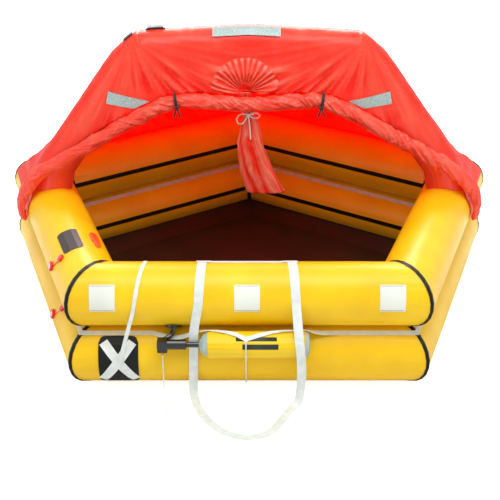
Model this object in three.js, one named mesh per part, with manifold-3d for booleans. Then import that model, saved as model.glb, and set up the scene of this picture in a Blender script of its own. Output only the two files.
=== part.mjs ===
// Inflated liferaft for eight people, in millimetres.
// Two stacked buoyancy tubes form a regular pentagon with a floor below. An inflated arch
// carries the canopy, whose entrance curtain is rolled up and tied over the front side.
// +X is to the right seen from the entrance, +Y to the back, +Z up. The origin lies on the
// flat underside of the floor, below the middle of the pentagon.

import * as THREE from 'three';
import { mergeVertices } from 'three/addons/utils/BufferGeometryUtils.js';
import Module from 'manifold-3d';

const wasm = await Module();
wasm.setup();

// Fits
const gap = 0.3;
const tapeThickness = 1.2;
const clothThickness = 2.4;
const webbingThickness = 1.6;

// Buoyancy tubes
const pentagonSide = 1470;
const tubeDiameter = 300;
const tubeFacets = 24;
const jointTapeWidth = 28;
const seamTapeWidth = 26;
const tapeStepLength = 9;

// Floor
const floorThickness = 2.5;
const floorFlangeWidth = 30;
const floorSlopeRun = 115;

// Arch: a straight foot, a leaning leg, a short shoulder and a nearly level beam
const archDiameter = 192;
const archSetBack = 18;
const archFootInset = 9;
const archAnkle = { x: 1035, z: 707 };
const archShoulder = { x: 640, z: 1265 };
const archBeamEnd = { x: 545, z: 1345 };
const archHeight = 1375;

// Canopy
const canopyLift = 0.8;
const canopyEdgeAngle = 22.5;
const canopyEdgeStart = 60;
const radiatingFoldDepth = 9;
const hemTurn = 37;

// Rolled entrance curtain
const rollRadius = 40;
const rollGatherDepth = 0.07;
const tieReach = 375;
const tieRadius = 42.2;
const tieWidth = 15;
const tieTailWidth = 9;
const tieThickness = 2;

// Fittings on the beam
const light = { x: -482, y: 34, width: 99, depth: 44 };
const lightBaseHeight = 7;
const lightLensHeight = 14;
const tab = { x: -622, y: 10, width: 45, depth: 26 };

// Lookout sleeve
const sleeveRadius = 178;
const sleevePleats = 8;
const sleevePleatDepth = 8;
const sleeveFan = { z: 1146, low: 9, lift: 4 };
const sleeveTie = { x: -4, y: -97, z: 1032 };
const drawcordDiameter = 6;
const sleeveOffset = -21;
const sleeveNeckWidth = 56;
const sleeveNeckDepth = 10;
const sleeveHemWidth = 196;
const sleeveHemHeight = 580;

// Gas cylinder and its operating head
const cylinderRadius = 59;
const cylinderLeftEnd = -232;
const cylinderRightEnd = 281;
const cylinderSeatAngle = 35.5;
const sleeveClothLeft = -190;
const sleeveClothRight = 258;
const headRadius = 24;
const headLeftEnd = -426;
const headRightEnd = -288;
const headNeckRadius = 13;
const headBlockWidth = 46;
const headBlockDrop = 31.8;
const hoseHeadX = -398;
const firingPinX = -401;
const firingPinRadius = 9;
const firingPinLength = 34;
const firingPinGrip = 20;
const firingCordDiameter = 5;
const inletValveX = -354;
const inletValveRadius = 40;
const inletValveHeight = 9;
const hoseRadius = 11;

// Filling valves on the left side
const valveRadius = 25;
const valveHeight = 14;
const valveBore = 15;
const poppetRadius = 14.4;
const poppetHeight = 6;
const poppetRecess = 1;
const valveFloor = 3;
const valveCapRadius = 19;
const valveCapHeight = 13;
const tetherThickness = 1.5;
const knifeThickness = 15;

// Webbing, patches and small fittings
const lifelineWidth = 24;
const ladderWidth = 42;
const ladderHalfSpan = 208;
const towLineWidth = 18;
const frontPatchWidth = 118;
const towPatch = { x: -612, width: 187, from: -49, to: 54 };
const crossWidth = 44;
const crossRise = 1;
const anchorWidth = 34;
const patchThickness = 2;
const lifelineKnotX = -14;
const ladderReach = 396;
const downhaulDiameter = 6;

const orange = 0xff4a33;
const arch = 0xff3d22;
const yellow = 0xf2cf3a;
const black = 0x161617;
const white = 0xf1f4ee;
const palePatch = 0xe9ecdf;
const darkPatch = 0x2c1a1b;
const silver = 0xa9b5ab;
const red = 0xe0121b;
const brass = 0xb98a45;
const floorBrown = 0x1f110b;

const radius = tubeDiameter / 2;
const archRadius = archDiameter / 2;
const facetAngle = 360 / tubeFacets;
const halfFacet = facetAngle / 2;
const sideCount = 5;
const halfSide = pentagonSide / 2;
const mitreAngle = Math.PI / sideCount;
const apothem = halfSide / Math.tan(mitreAngle);
const lowerAxis = radius + gap + tapeThickness;
const upperAxis = lowerAxis + tubeDiameter + gap;
const tapeRise = gap + tapeThickness;
const side = { front: 0, right: 1, backRight: 2, backLeft: 3, left: 4 };

const raft = new THREE.Group();
const deg = THREE.MathUtils.degToRad;
const cosDeg = (angle) => Math.cos(deg(angle));
const sinDeg = (angle) => Math.sin(deg(angle));
const lerp = THREE.MathUtils.lerp;
const point = (x, y, z) => new THREE.Vector3(x, y, z);

// Every body of the raft is a loft: rings of equally many points, joined one to the next.
// An open loft gets a flat zigzag cap on each end ring. Quads of the second half of a ring are
// split the other way, so that both faces of a sheet or strap fold along the same lines.
function capTriangles(count) {
  const triangles = [];
  let low = 0;
  let high = count - 1;
  while (low + 1 < high) {
    triangles.push([low, low + 1, high]);
    low += 1;
    if (low + 1 < high) {
      triangles.push([low, high - 1, high]);
      high -= 1;
    }
  }
  return triangles;
}

function signedVolume(positions, index) {
  const [a, b, c] = [point(), point(), point()];
  let volume = 0;
  for (let i = 0; i < index.length; i += 3) {
    a.fromArray(positions, index[i] * 3);
    b.fromArray(positions, index[i + 1] * 3);
    c.fromArray(positions, index[i + 2] * 3);
    volume += a.dot(b.cross(c)) / 6;
  }
  return volume;
}

function loft(rings, { closed = false } = {}) {
  const count = rings[0].length;
  const positions = rings.flat().flatMap((p) => [p.x, p.y, p.z]);
  const index = [];
  const spans = closed ? rings.length : rings.length - 1;
  for (let i = 0; i < spans; i++) {
    const here = i * count;
    const next = ((i + 1) % rings.length) * count;
    for (let j = 0; j < count; j++) {
      const k = (j + 1) % count;
      if (j < count / 2) {
        index.push(here + j, here + k, next + k, here + j, next + k, next + j);
      } else {
        index.push(here + j, here + k, next + j, here + k, next + k, next + j);
      }
    }
  }
  if (!closed) {
    const last = (rings.length - 1) * count;
    for (const [a, b, c] of capTriangles(count)) {
      index.push(a, c, b, last + a, last + b, last + c);
    }
  }
  if (signedVolume(positions, index) < 0) {
    for (let i = 0; i < index.length; i += 3) {
      [index[i + 1], index[i + 2]] = [index[i + 2], index[i + 1]];
    }
  }
  const geometry = new THREE.BufferGeometry();
  geometry.setAttribute('position', new THREE.Float32BufferAttribute(positions, 3));
  geometry.setIndex(index);
  return geometry;
}

// Boolean joins and cuts
function solidOf(geometry) {
  const bare = geometry.clone();
  bare.deleteAttribute('normal');
  bare.deleteAttribute('uv');
  const merged = mergeVertices(bare, 1e-3);
  return new wasm.Manifold(new wasm.Mesh({
    numProp: 3,
    vertProperties: new Float32Array(merged.attributes.position.array),
    triVerts: new Uint32Array(merged.index.array),
  }));
}

function geometryOf(solid) {
  const mesh = solid.getMesh();
  const geometry = new THREE.BufferGeometry();
  const positions = new THREE.BufferAttribute(new Float32Array(mesh.vertProperties), 3);
  geometry.setAttribute('position', positions);
  geometry.setIndex(new THREE.BufferAttribute(new Uint32Array(mesh.triVerts), 1));
  return geometry;
}

const join = (...geometries) => geometryOf(
  geometries.map(solidOf).reduce((whole, piece) => whole.add(piece)),
);
const cut = (body, ...tools) => geometryOf(
  tools.map(solidOf).reduce((left, tool) => left.subtract(tool), solidOf(body)),
);

function addPiece(name, geometry, color, roughness, metalness = 0) {
  const finish = new THREE.MeshStandardMaterial({ color, roughness, metalness });
  const mesh = new THREE.Mesh(geometry, finish);
  mesh.name = name;
  raft.add(mesh);
  return mesh;
}

// Places on the pentagon. A side runs along its own line; offset is measured outwards from
// the tube axis, and angle is 0 at the outer equator and 90 at the top of a tube.
function onSide(sideIndex, along, offset, z) {
  return point(along, -(apothem + offset), z)
    .applyAxisAngle(point(0, 0, 1), sideIndex * 2 * mitreAngle);
}

// A place near the corner that ends a side: distance is 0 on the mitre, and negative before it
function nearCorner(sideIndex, distance, offset, z) {
  const mitre = halfSide + offset * Math.tan(mitreAngle);
  if (distance <= 0) {
    return onSide(sideIndex, mitre + distance, offset, z);
  }
  return onSide(sideIndex + 1, distance - mitre, offset, z);
}

// Radius of a faceted tube whose flats lie at the given radius
function facetedRadius(flat, angle) {
  const fromFlat = angle - Math.round(angle / facetAngle) * facetAngle;
  return flat / cosDeg(fromFlat);
}

function onTube(sideIndex, along, axisZ, flat, angle) {
  const r = facetedRadius(flat, angle);
  return onSide(sideIndex, along, r * cosDeg(angle), axisZ + r * sinDeg(angle));
}

// Angles from one to another that include each edge of the faceted tube between them
function wrapAngles(from, to) {
  const angles = [from];
  const firstEdge = Math.ceil((from + 0.01 - halfFacet) / facetAngle) * facetAngle + halfFacet;
  for (let angle = firstEdge; angle < to - 0.01; angle += facetAngle) {
    angles.push(angle);
  }
  angles.push(to);
  return angles;
}

const tubeEdges = Array.from({ length: tubeFacets }, (_, i) => halfFacet + i * facetAngle);

function tubeRing(axisZ, flat) {
  const section = tubeEdges.map((angle) => {
    const r = facetedRadius(flat, angle);
    return [r * cosDeg(angle), axisZ + r * sinDeg(angle)];
  });
  const rings = [];
  for (let corner = 0; corner < sideCount; corner++) {
    rings.push(section.map(([offset, z]) => nearCorner(corner, 0, offset, z)));
  }
  return loft(rings, { closed: true });
}

// A flat patch or strap glued round a tube. A bow in its width rounds the corners.
function tubePatch({ sideIndex, along, width, axisZ, from, to, thickness, lift = gap, rounding = 0 }) {
  const inner = radius + lift;
  const outer = inner + thickness;
  const angles = wrapAngles(from, to);
  if (rounding > 0) {
    const soft = THREE.MathUtils.radToDeg(rounding / radius);
    angles.push(from + soft * 0.3, from + soft, to - soft, to - soft * 0.3);
    angles.sort((a, b) => a - b);
  }
  const rings = angles.map((angle) => {
    const toEnd = Math.min(angle - from, to - angle) * Math.PI / 180 * radius;
    const inset = rounding - Math.sqrt(Math.max(0, rounding ** 2 - Math.max(0, rounding - toEnd) ** 2));
    const half = width / 2 - inset;
    return [
      onTube(sideIndex, along - half, axisZ, inner, angle),
      onTube(sideIndex, along + half, axisZ, inner, angle),
      onTube(sideIndex, along + half, axisZ, outer, angle),
      onTube(sideIndex, along - half, axisZ, outer, angle),
    ];
  });
  return loft(rings);
}

// A flat strap along hand-chosen stops, each with the direction that its face looks
function strap(stops, width, thickness, { closed = false } = {}) {
  return loft(strapRings(stops, width, thickness, closed), { closed });
}

function strapRings(stops, width, thickness, closed = false) {
  return stops.map(({ at, face }, i) => {
    const last = stops.length - 1;
    const before = stops[closed ? (i + last) % stops.length : Math.max(i - 1, 0)].at;
    const after = stops[closed ? (i + 1) % stops.length : Math.min(i + 1, last)].at;
    const run = after.clone().sub(before).normalize();
    const across = run.clone().cross(face).normalize();
    const normal = across.clone().cross(run).normalize();
    const corner = (a, n) => at.clone().addScaledVector(across, a).addScaledVector(normal, n);
    return [
      corner(-width / 2, -thickness / 2),
      corner(width / 2, -thickness / 2),
      corner(width / 2, thickness / 2),
      corner(-width / 2, thickness / 2),
    ];
  });
}

function regularSection(sides, r) {
  return new THREE.Shape(Array.from({ length: sides }, (_, i) => {
    const turn = (i / sides) * 2 * Math.PI;
    return new THREE.Vector2(r * Math.cos(turn), r * Math.sin(turn));
  }));
}

function cordAlong(points, diameter, steps, sides = 8) {
  const extrudePath = new THREE.CatmullRomCurve3(points);
  return new THREE.ExtrudeGeometry(regularSection(sides, diameter / 2), {
    steps,
    extrudePath,
    bevelEnabled: false,
  });
}

// Moves a geometry made about the Z axis so that it stands on a tube, its Z axis outwards
function standOnTube(geometry, sideIndex, along, axisZ, angle, lift = gap) {
  const seat = onTube(sideIndex, along, axisZ, radius + lift, angle);
  const outward = onTube(sideIndex, along, axisZ, radius + lift + 1, angle).sub(seat).normalize();
  const sideways = onSide(sideIndex, along + 1, 0, 0).sub(onSide(sideIndex, along, 0, 0));
  const up = outward.clone().cross(sideways);
  const matrix = new THREE.Matrix4().makeBasis(sideways, up, outward).setPosition(seat);
  return geometry.applyMatrix4(matrix);
}

// Buoyancy tubes with their corner tapes and inner seam tapes
function addBuoyancyTubes() {
  addPiece('lower_buoyancy_tube', tubeRing(lowerAxis, radius), yellow, 0.38);
  addPiece('upper_buoyancy_tube', tubeRing(upperAxis, radius), yellow, 0.38);

  const cornerNames = ['front_right', 'right', 'back', 'left', 'front_left'];
  const openAngle = facetAngle;
  const jointTape = (corner, axisZ, openAt) => {
    const rings = wrapAngles(openAt + openAngle, openAt + 360 - openAngle).map((angle) => {
      const strip = (flat) => {
        const r = facetedRadius(flat, angle);
        const offset = r * cosDeg(angle);
        const z = axisZ + r * sinDeg(angle);
        return [-jointTapeWidth / 2, 0, jointTapeWidth / 2]
          .map((distance) => nearCorner(corner, distance, offset, z));
      };
      return [...strip(radius + gap), ...strip(radius + gap + tapeThickness).reverse()];
    });
    return loft(rings);
  };
  cornerNames.forEach((name, corner) => {
    addPiece(`upper_joint_tape_${name}`, jointTape(corner, upperAxis, -90), black, 0.55);
    addPiece(`lower_joint_tape_${name}`, jointTape(corner, lowerAxis, 90), black, 0.55);
  });

  addPiece('upper_seam_tape', seamTape(upperAxis), black, 0.55);
  addPiece('lower_seam_tape', seamTape(lowerAxis), black, 0.55);
}

// Stations round each corner where a strip steps up over the joint tape
const cornerSteps = [
  { distance: -jointTapeWidth / 2 - tapeStepLength, rise: 0 },
  { distance: -jointTapeWidth / 2, rise: tapeRise },
  { distance: 0, rise: tapeRise },
  { distance: jointTapeWidth / 2, rise: tapeRise },
  { distance: jointTapeWidth / 2 + tapeStepLength, rise: 0 },
];

// Cross sections of a strip that runs round one corner on the facet at the given angle
function cornerRings(corner, axisZ, angle, width, thickness) {
  return cornerSteps.map(({ distance, rise }) => {
    const inner = radius + gap + rise;
    const place = (flat, across) => nearCorner(
      corner,
      distance,
      flat * cosDeg(angle) + across * sinDeg(angle),
      axisZ + flat * sinDeg(angle) - across * cosDeg(angle),
    );
    return [
      place(inner, -width / 2),
      place(inner, width / 2),
      place(inner + thickness, width / 2),
      place(inner + thickness, -width / 2),
    ];
  });
}

function seamTape(axisZ) {
  const rings = [];
  for (let corner = 0; corner < sideCount; corner++) {
    rings.push(...cornerRings(corner, axisZ, 180, seamTapeWidth, tapeThickness));
  }
  return loft(rings, { closed: true });
}

// The floor is a pan: flat on the ground, rising to a flange glued under the lower tube
function addFloor() {
  const flangeAngle = 225;
  const half = floorFlangeWidth / 2;
  const flangePoint = (flat, across) => ({
    offset: flat * cosDeg(flangeAngle) - across * sinDeg(flangeAngle),
    z: lowerAxis + flat * sinDeg(flangeAngle) + across * cosDeg(flangeAngle),
  });
  const loops = [
    { fixed: { offset: flangePoint(radius, -half).offset - floorSlopeRun, z: floorThickness } },
    { flat: radius + gap, across: -half },
    { flat: radius + gap, across: half },
    { flat: radius + gap + floorThickness, across: half },
    { flat: radius + gap + floorThickness, across: -half + floorThickness },
    { fixed: { offset: flangePoint(radius, -half).offset - floorSlopeRun + floorThickness / 2, z: 0 } },
  ];
  const rings = loops.map((loop) => {
    const ring = [];
    for (let corner = 0; corner < sideCount; corner++) {
      for (const { distance, rise } of cornerSteps) {
        const { offset, z } = loop.fixed ?? flangePoint(loop.flat + rise, loop.across);
        ring.push(nearCorner(corner, distance, offset, z));
      }
    }
    return ring;
  });
  addPiece('floor', loft(rings), floorBrown, 0.7);
}

// Arch centre line from the left foot to the right foot, in the plane y = archSetBack.
// The feet stand on the side tubes, so their place follows the pentagon.
const sideLean = Math.PI / 2 - 2 * mitreAngle;
const tubeAxisX = (y) => halfSide + (y + apothem) * Math.tan(sideLean);
const archFoot = { x: tubeAxisX(archSetBack) + archFootInset, z: upperAxis + radius / 3 };
const leftHalf = [archFoot, archAnkle, archShoulder, archBeamEnd]
  .map(({ x, z }) => point(-x, archSetBack, z));
const archPath = [
  ...leftHalf,
  point(0, archSetBack, archHeight),
  ...leftHalf.map((p) => point(-p.x, p.y, p.z)).reverse(),
];
const archStarts = archPath.slice(0, -1).reduce(
  (lengths, p, i) => [...lengths, lengths[i] + p.distanceTo(archPath[i + 1])],
  [0],
);
const archLength = archStarts.at(-1);

// Frame at a distance along the arch: centre, outward direction and the mitre stretch of a bend
function archFrame(distance) {
  const bend = archStarts.findIndex((start) => Math.abs(start - distance) < 1e-6);
  const outwardOf = (i) => {
    const run = archPath[i + 1].clone().sub(archPath[i]).normalize();
    return point(-run.z, 0, run.x);
  };
  if (bend > 0 && bend < archPath.length - 1) {
    const outward = outwardOf(bend - 1).add(outwardOf(bend)).normalize();
    return {
      centre: archPath[bend].clone(),
      outward,
      stretch: 1 / outward.dot(outwardOf(bend)),
    };
  }
  const span = Math.min(
    archPath.length - 2,
    Math.max(0, archStarts.findIndex((start) => start > distance + 1e-6) - 1),
  );
  const last = distance > archLength - 1e-6 ? archPath.length - 2 : span;
  const part = (distance - archStarts[last]) / (archStarts[last + 1] - archStarts[last]);
  return {
    centre: archPath[last].clone().lerp(archPath[last + 1], part),
    outward: outwardOf(last),
    stretch: 1,
  };
}

// A point round the arch: turn is 0 on the outward side and -90 towards the entrance
function onArch(distance, flatRadius, turn) {
  const { centre, outward, stretch } = archFrame(distance);
  return centre
    .addScaledVector(outward, flatRadius * stretch * cosDeg(turn))
    .add(point(0, flatRadius * sinDeg(turn), 0));
}

function addArch() {
  const rings = archStarts.map((start) => tubeEdges.map(
    (angle) => onArch(start, archRadius / cosDeg(halfFacet), angle),
  ));
  const seat = tubeRing(upperAxis, radius + gap);
  addPiece('arch_tube', cut(loft(rings), seat), arch, 0.4);
}

// The rolled curtain: centre line of its left half, from the tail in the crease to the middle.
// Its tail lies round the outside of the side tube, at a clearance and an angle about its axis.
const besideTube = (y, clear, angle) => point(
  -(tubeAxisX(y) + (radius + clear) * cosDeg(angle)),
  y,
  upperAxis + (radius + clear) * sinDeg(angle),
);
const rollLeft = [
  besideTube(-36, 31.5, -16.6),
  besideTube(-46, 42.5, 3),
  besideTube(-60, 53.9, 25.6),
  besideTube(-82, 76.8, 48.6),
  besideTube(-108, 108.9, 66.9),
  besideTube(-126, 148, 83.8),
  point(-950, -134, 808),
  point(-830, -134, 876),
  point(-725, -134, 940),
  point(-595, -134, 1012),
  point(-505, -134, 1062),
  point(-tieReach, -132, 1110),
  point(-210, -134, 1108),
  point(-95, -138, 1102),
];
const rollMiddle = point(sleeveOffset, -150, 1100);
const rollPath = new THREE.CatmullRomCurve3([
  ...rollLeft,
  rollMiddle,
  ...rollLeft.slice(0, -1).map((p) => point(-p.x, p.y, p.z)).reverse(),
]);
const rollLength = rollPath.getLength();
rollPath.arcLengthDivisions = 400;

// Thin at the tails, full between, and pinched where the ties hold it
function looseRollRadiusAt(part) {
  const fromEnd = Math.min(part, 1 - part) * rollLength;
  return rollRadius * Math.min(1, 0.38 + fromEnd / 420);
}

function rollRadiusAt(part) {
  const x = Math.abs(rollPath.getPointAt(part).x);
  const pinch = 1 - 0.14 * Math.exp(-(((x - tieReach) / 26) ** 2));
  return looseRollRadiusAt(part) * pinch;
}

function rollFrame(part) {
  const centre = rollPath.getPointAt(part);
  const run = rollPath.getTangentAt(part);
  const back = point(0, 1, 0).addScaledVector(run, -run.y).normalize();
  const outward = run.clone().cross(back).normalize();
  return { centre, outward, back };
}

function onRoll(part, r, turn) {
  const { centre, outward, back } = rollFrame(part);
  return centre
    .addScaledVector(outward, r * cosDeg(turn))
    .addScaledVector(back, r * sinDeg(turn));
}

function addRoll() {
  const stations = 52;
  const sides = 10;
  const rings = [];
  for (let i = 0; i <= stations; i++) {
    const part = i / stations;
    const base = rollRadiusAt(part);
    const ring = [];
    for (let j = 0; j < sides; j++) {
      const turn = (j / sides) * 360;
      const gather = Math.sin(i * 2.4 + j * 1.9) + 0.6 * Math.sin(i * 1.1 - j * 2.5);
      ring.push(onRoll(part, base * (1 + rollGatherDepth * 0.6 * gather), turn));
    }
    rings.push(ring);
  }
  addPiece('entrance_curtain_roll', loft(rings), orange, 0.5);
}

// Canopy sheet as a grid of its inner side: columns from the left tail to the right tail,
// rows from the roll over the arch to the edge that is glued to the upper tube
const halfColumns = 19;
const skirtColumns = 4;
const frontRows = 3;
const wrapRows = 5;
const rearRows = 3;
const tubeRowAngles = [52.5, 37.5, canopyEdgeAngle];
const firstRearRow = frontRows + wrapRows;
const sheetRows = firstRearRow + rearRows + tubeRowAngles.length;

function between(value, keys, values) {
  const last = keys.length - 2;
  const i = Math.min(last, Math.max(0, keys.findIndex((key) => key > value) - 1));
  const span = value >= keys.at(-1) ? last : i;
  return lerp(values[span], values[span + 1], (value - keys[span]) / (keys[span + 1] - keys[span]));
}

const legColumn = skirtColumns;
const ankleColumn = 5;
const shoulderColumn = 9;
const beamColumn = 12;
const archStation = (column) => between(
  column,
  [legColumn, ankleColumn, shoulderColumn, beamColumn, halfColumns],
  [archStarts[1] - 60, archStarts[1], archStarts[2], archStarts[3], archStarts[4]],
);
const cornerColumn = 6;
const edgeToCorner = pentagonSide - (canopyEdgeStart + apothem) / Math.cos(sideLean);
const edgeStation = (column) => between(
  column,
  [0, cornerColumn, shoulderColumn, beamColumn, halfColumns],
  [0, edgeToCorner, edgeToCorner + 380, edgeToCorner + 820, edgeToCorner + pentagonSide],
);
const rollStation = (column) => between(
  column,
  [0, legColumn - 1, legColumn, shoulderColumn, beamColumn + 1, halfColumns],
  [0.004, 0.062, 0.09, 0.27, 0.375, 0.5],
);

// The hem sits behind the tails and climbs to the upper back of the roll
const hemTurnAt = (column) => between(
  column,
  [legColumn, shoulderColumn, halfColumns - 1, halfColumns],
  [84, hemTurn, hemTurn, hemTurn + 8],
);

// Place on the canopy edge: first along the left side tube, then along the back left one
function edgePlace(station, flat, angle) {
  const r = facetedRadius(flat, angle);
  const offset = r * cosDeg(angle);
  const z = upperAxis + r * sinDeg(angle);
  const mitre = halfSide + offset * Math.tan(mitreAngle);
  if (station <= edgeToCorner) {
    const left = edgeToCorner - station;
    return onSide(side.left, -mitre + left, offset, z);
  }
  const along = mitre - (station - edgeToCorner) * (mitre / halfSide);
  return onSide(side.backLeft, along, offset, z);
}

const sheetOnTube = radius + tapeThickness + 2 * gap;
const sheetOnArch = archRadius / cosDeg(halfFacet) + canopyLift;
const widestWrapStep = 33;
const wrapRadius = sheetOnArch / cosDeg(widestWrapStep / 2);

// The tail of the sheet lies round the outside of the side tube, in front of the corner
const skirtAngles = [
  { middle: -20, rear: [-19.5, -18.5, -17] },
  { middle: 1, rear: [3, 4, 5] },
  { middle: 22, rear: [24, 19, 14] },
  { middle: 42, rear: [43, 33, canopyEdgeAngle] },
];

function skirtPoint(column, row) {
  const widestStep = 28;
  const r = sheetOnTube / cosDeg(widestStep / 2);
  const { middle, rear } = skirtAngles[column];
  const angle = row < firstRearRow + rearRows ? middle : rear[row - firstRearRow - rearRows];
  const rollPart = rollStation(column);
  const rollY = rollPath.getPointAt(rollPart).y;
  const frontY = rollY + rollRadiusAt(rollPart) * (1 + 2 * rollGatherDepth) + clothThickness;
  const edgeY = canopyEdgeStart + edgeStation(column) * Math.cos(sideLean);
  const y = lerp(frontY, edgeY, row / (sheetRows - 1));
  const along = halfSide - (y + apothem) / Math.cos(sideLean);
  return onSide(side.left, along, r * cosDeg(angle), upperAxis + r * sinDeg(angle));
}

// Folds run out from the two shoulders, and fade towards the arch and the edges
function foldDepth(column, part) {
  const nearShoulder = Math.exp(-(((column - 10.5) / 6.5) ** 2));
  const ridge = Math.sin(column * 2.1) * 0.6 + Math.sin(column * 3.3 + 1) * 0.4;
  return radiatingFoldDepth * nearShoulder * ridge * Math.sin(Math.PI * part);
}

// The sheet is drawn taut from its hem over the arch to the tube, like a string over a drum.
// Where the straight way clears the arch, the rows meant for the wrap lie on that straight way.
function tautWrap(station, hem, target) {
  const { centre, outward } = archFrame(station);
  const polar = (p) => {
    const d = p.clone().sub(centre);
    const out = d.dot(outward);
    const reach = Math.hypot(out, d.y);
    return {
      turn: THREE.MathUtils.radToDeg(Math.atan2(d.y, out)),
      tangent: THREE.MathUtils.radToDeg(Math.acos(Math.min(1, wrapRadius / reach))),
    };
  };
  const from = polar(hem);
  const to = polar(target);
  const start = from.turn + from.tangent;
  const end = to.turn - to.tangent;
  return Array.from({ length: wrapRows }, (_, i) => {
    const part = i / (wrapRows - 1);
    if (start < end) {
      return onArch(station, wrapRadius, lerp(start, end, part));
    }
    return hem.clone().lerp(target, lerp(0.3, 0.6, part));
  });
}

function sheetColumn(column) {
  if (column < skirtColumns) {
    return Array.from({ length: sheetRows }, (_, row) => skirtPoint(column, row));
  }
  const rollPart = rollStation(column);
  const neckRoom = column === halfColumns ? 2 * sleeveNeckDepth + 9 : 0;
  const tailRoom = between(column, [legColumn, shoulderColumn, halfColumns], [13, 1, 1]);
  const lift = looseRollRadiusAt(rollPart) * (1 + 1.2 * rollGatherDepth) + tailRoom + neckRoom;
  const hem = onRoll(rollPart, lift, hemTurnAt(column));
  const tubeStation = edgeStation(column);
  const tubeRows = tubeRowAngles.map((angle) => edgePlace(tubeStation, sheetOnTube, angle));
  const wrap = tautWrap(archStation(column), hem, tubeRows[0]);
  const rows = [];
  for (let i = 0; i < frontRows; i++) {
    const part = i / frontRows;
    const p = hem.clone().lerp(wrap[0], part);
    p.y -= Math.abs(foldDepth(column, part));
    rows.push(p);
  }
  rows.push(...wrap);
  const top = wrap.at(-1);
  for (let i = 1; i <= rearRows; i++) {
    const part = i / (rearRows + 1);
    const p = top.clone().lerp(tubeRows[0], part);
    p.z += foldDepth(column, part);
    rows.push(p);
  }
  rows.push(...tubeRows);
  return rows;
}

function sheetGrid() {
  const columns = [];
  for (let column = 0; column <= halfColumns; column++) {
    columns.push(sheetColumn(column));
  }
  const mirrored = columns.slice(0, -1).reverse()
    .map((rows) => rows.map((p) => point(-p.x, p.y, p.z)));
  return [...columns, ...mirrored];
}

// Thickens a grid of points along its own normals and closes it all round
function sheetFromGrid(grid, thickness, lift = 0) {
  const at = (i, j) => grid[Math.min(grid.length - 1, Math.max(0, i))][
    Math.min(grid[0].length - 1, Math.max(0, j))];
  const normalAt = (i, j) => {
    const u = at(i + 1, j).clone().sub(at(i - 1, j));
    const v = at(i, j + 1).clone().sub(at(i, j - 1));
    return u.cross(v).normalize();
  };
  const rings = grid.map((column, i) => {
    const normals = column.map((_, j) => normalAt(i, j));
    const inner = column.map((p, j) => p.clone().addScaledVector(normals[j], lift));
    const outer = column.map((p, j) => p.clone().addScaledVector(normals[j], lift + thickness));
    return [...inner, ...outer.reverse()];
  });
  return loft(rings);
}

function addCanopy() {
  return addPiece('canopy', sheetFromGrid(sheetGrid(), clothThickness), orange, 0.5);
}

// Small flat pieces that lie on the canopy, found by looking along a direction at its surface
function onSurface(mesh, from, direction, lift) {
  const caster = new THREE.Raycaster(from, direction.clone().normalize());
  const [hit] = caster.intersectObject(mesh);
  return hit.point.addScaledVector(hit.face.normal, lift);
}

// A patch that follows the sheet: each ray of the grid finds its own place on it
function layOn(canopy, rays, thickness, lift) {
  const grid = rays.map((column) => column.map(
    ({ from, direction }) => onSurface(canopy, from, direction, lift),
  ));
  return sheetFromGrid(grid, thickness);
}

function evenSteps(count) {
  return Array.from({ length: count + 1 }, (_, i) => i / count);
}

function addReflectors(canopy) {
  const forward = point(0, 1, 0);
  const leftCorners = {
    lowStart: [-741, 1086],
    lowEnd: [-594, 1064],
    highStart: [-728, 1149],
    highEnd: [-515, 1102],
  };
  const sideRays = (mirror) => {
    const { lowStart, lowEnd, highStart, highEnd } = leftCorners;
    const rays = evenSteps(12).map((i) => evenSteps(3).map((j) => {
      const [x, z] = [0, 1].map((axis) => lerp(
        lerp(lowStart[axis], lowEnd[axis], i),
        lerp(highStart[axis], highEnd[axis], i),
        j,
      ));
      return { from: point(mirror * x, -1000, z), direction: forward };
    }));
    return mirror > 0 ? rays : rays.reverse();
  };
  const silverTape = 0.8;
  const sideGeometry = (mirror) => layOn(canopy, sideRays(mirror), silverTape, 1.2);
  addPiece('canopy_reflector_left', sideGeometry(1), silver, 0.3, 0.4);
  addPiece('canopy_reflector_right', sideGeometry(-1), silver, 0.3, 0.4);

  const ridge = archStarts[4];
  const topStations = [-183, -122, -61, 0, 52, 105, 157];
  const topRays = topStations.map((along) => evenSteps(3).map((j) => {
    const from = onArch(ridge + along, 2 * archRadius, lerp(-52.5, -22.5, j));
    return { from, direction: archFrame(ridge + along).centre.sub(from) };
  }));
  addPiece('canopy_reflector_top', layOn(canopy, topRays, silverTape, 4), silver, 0.3, 0.4);
}

// A body turned about the Z axis from its bottom centre to its top centre
function turned(profile, segments) {
  return loft(profile.map(([r, z]) => Array.from({ length: segments }, (_, i) => {
    const turn = (i / segments) * 2 * Math.PI;
    return point(r * Math.cos(turn), r * Math.sin(turn), z);
  })));
}

const alongX = (geometry, x, y, z) => geometry.rotateY(Math.PI / 2).translate(x, y, z);
const boxAt = (width, depth, height, x, y, z) => (
  new THREE.BoxGeometry(width, depth, height).translate(x, y, z)
);
const knotAt = (r, at) => new THREE.IcosahedronGeometry(r, 1).translate(at.x, at.y, at.z);

// Lookout sleeve: a pleated fan on the sheet, a neck tied behind the roll and a pouch below it
const sleevePoints = 2 * sleevePleats + 1;

function fanRing(canopy, r) {
  const fanTop = sleeveFan.low;
  const back = [];
  const front = [];
  for (let j = 0; j < sleevePoints; j++) {
    const part = j / (sleevePoints - 1);
    const turn = lerp(180 - fanTop, fanTop, part);
    const x = sleeveOffset + r * cosDeg(turn);
    const z = sleeveFan.z + r * sinDeg(turn);
    const sheet = onSurface(canopy, point(x, -1000, z), point(0, 1, 0), sleeveFan.lift);
    const pleat = sleevePleatDepth * (0.5 - 0.5 * Math.cos(part * sleevePleats * 2 * Math.PI));
    const y = sheet.y - pleat * Math.min(1, r / 120);
    back.push(point(x, y, z));
    front.push(point(x, y - clothThickness, z));
  }
  return [...front, ...back.reverse()];
}

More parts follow.
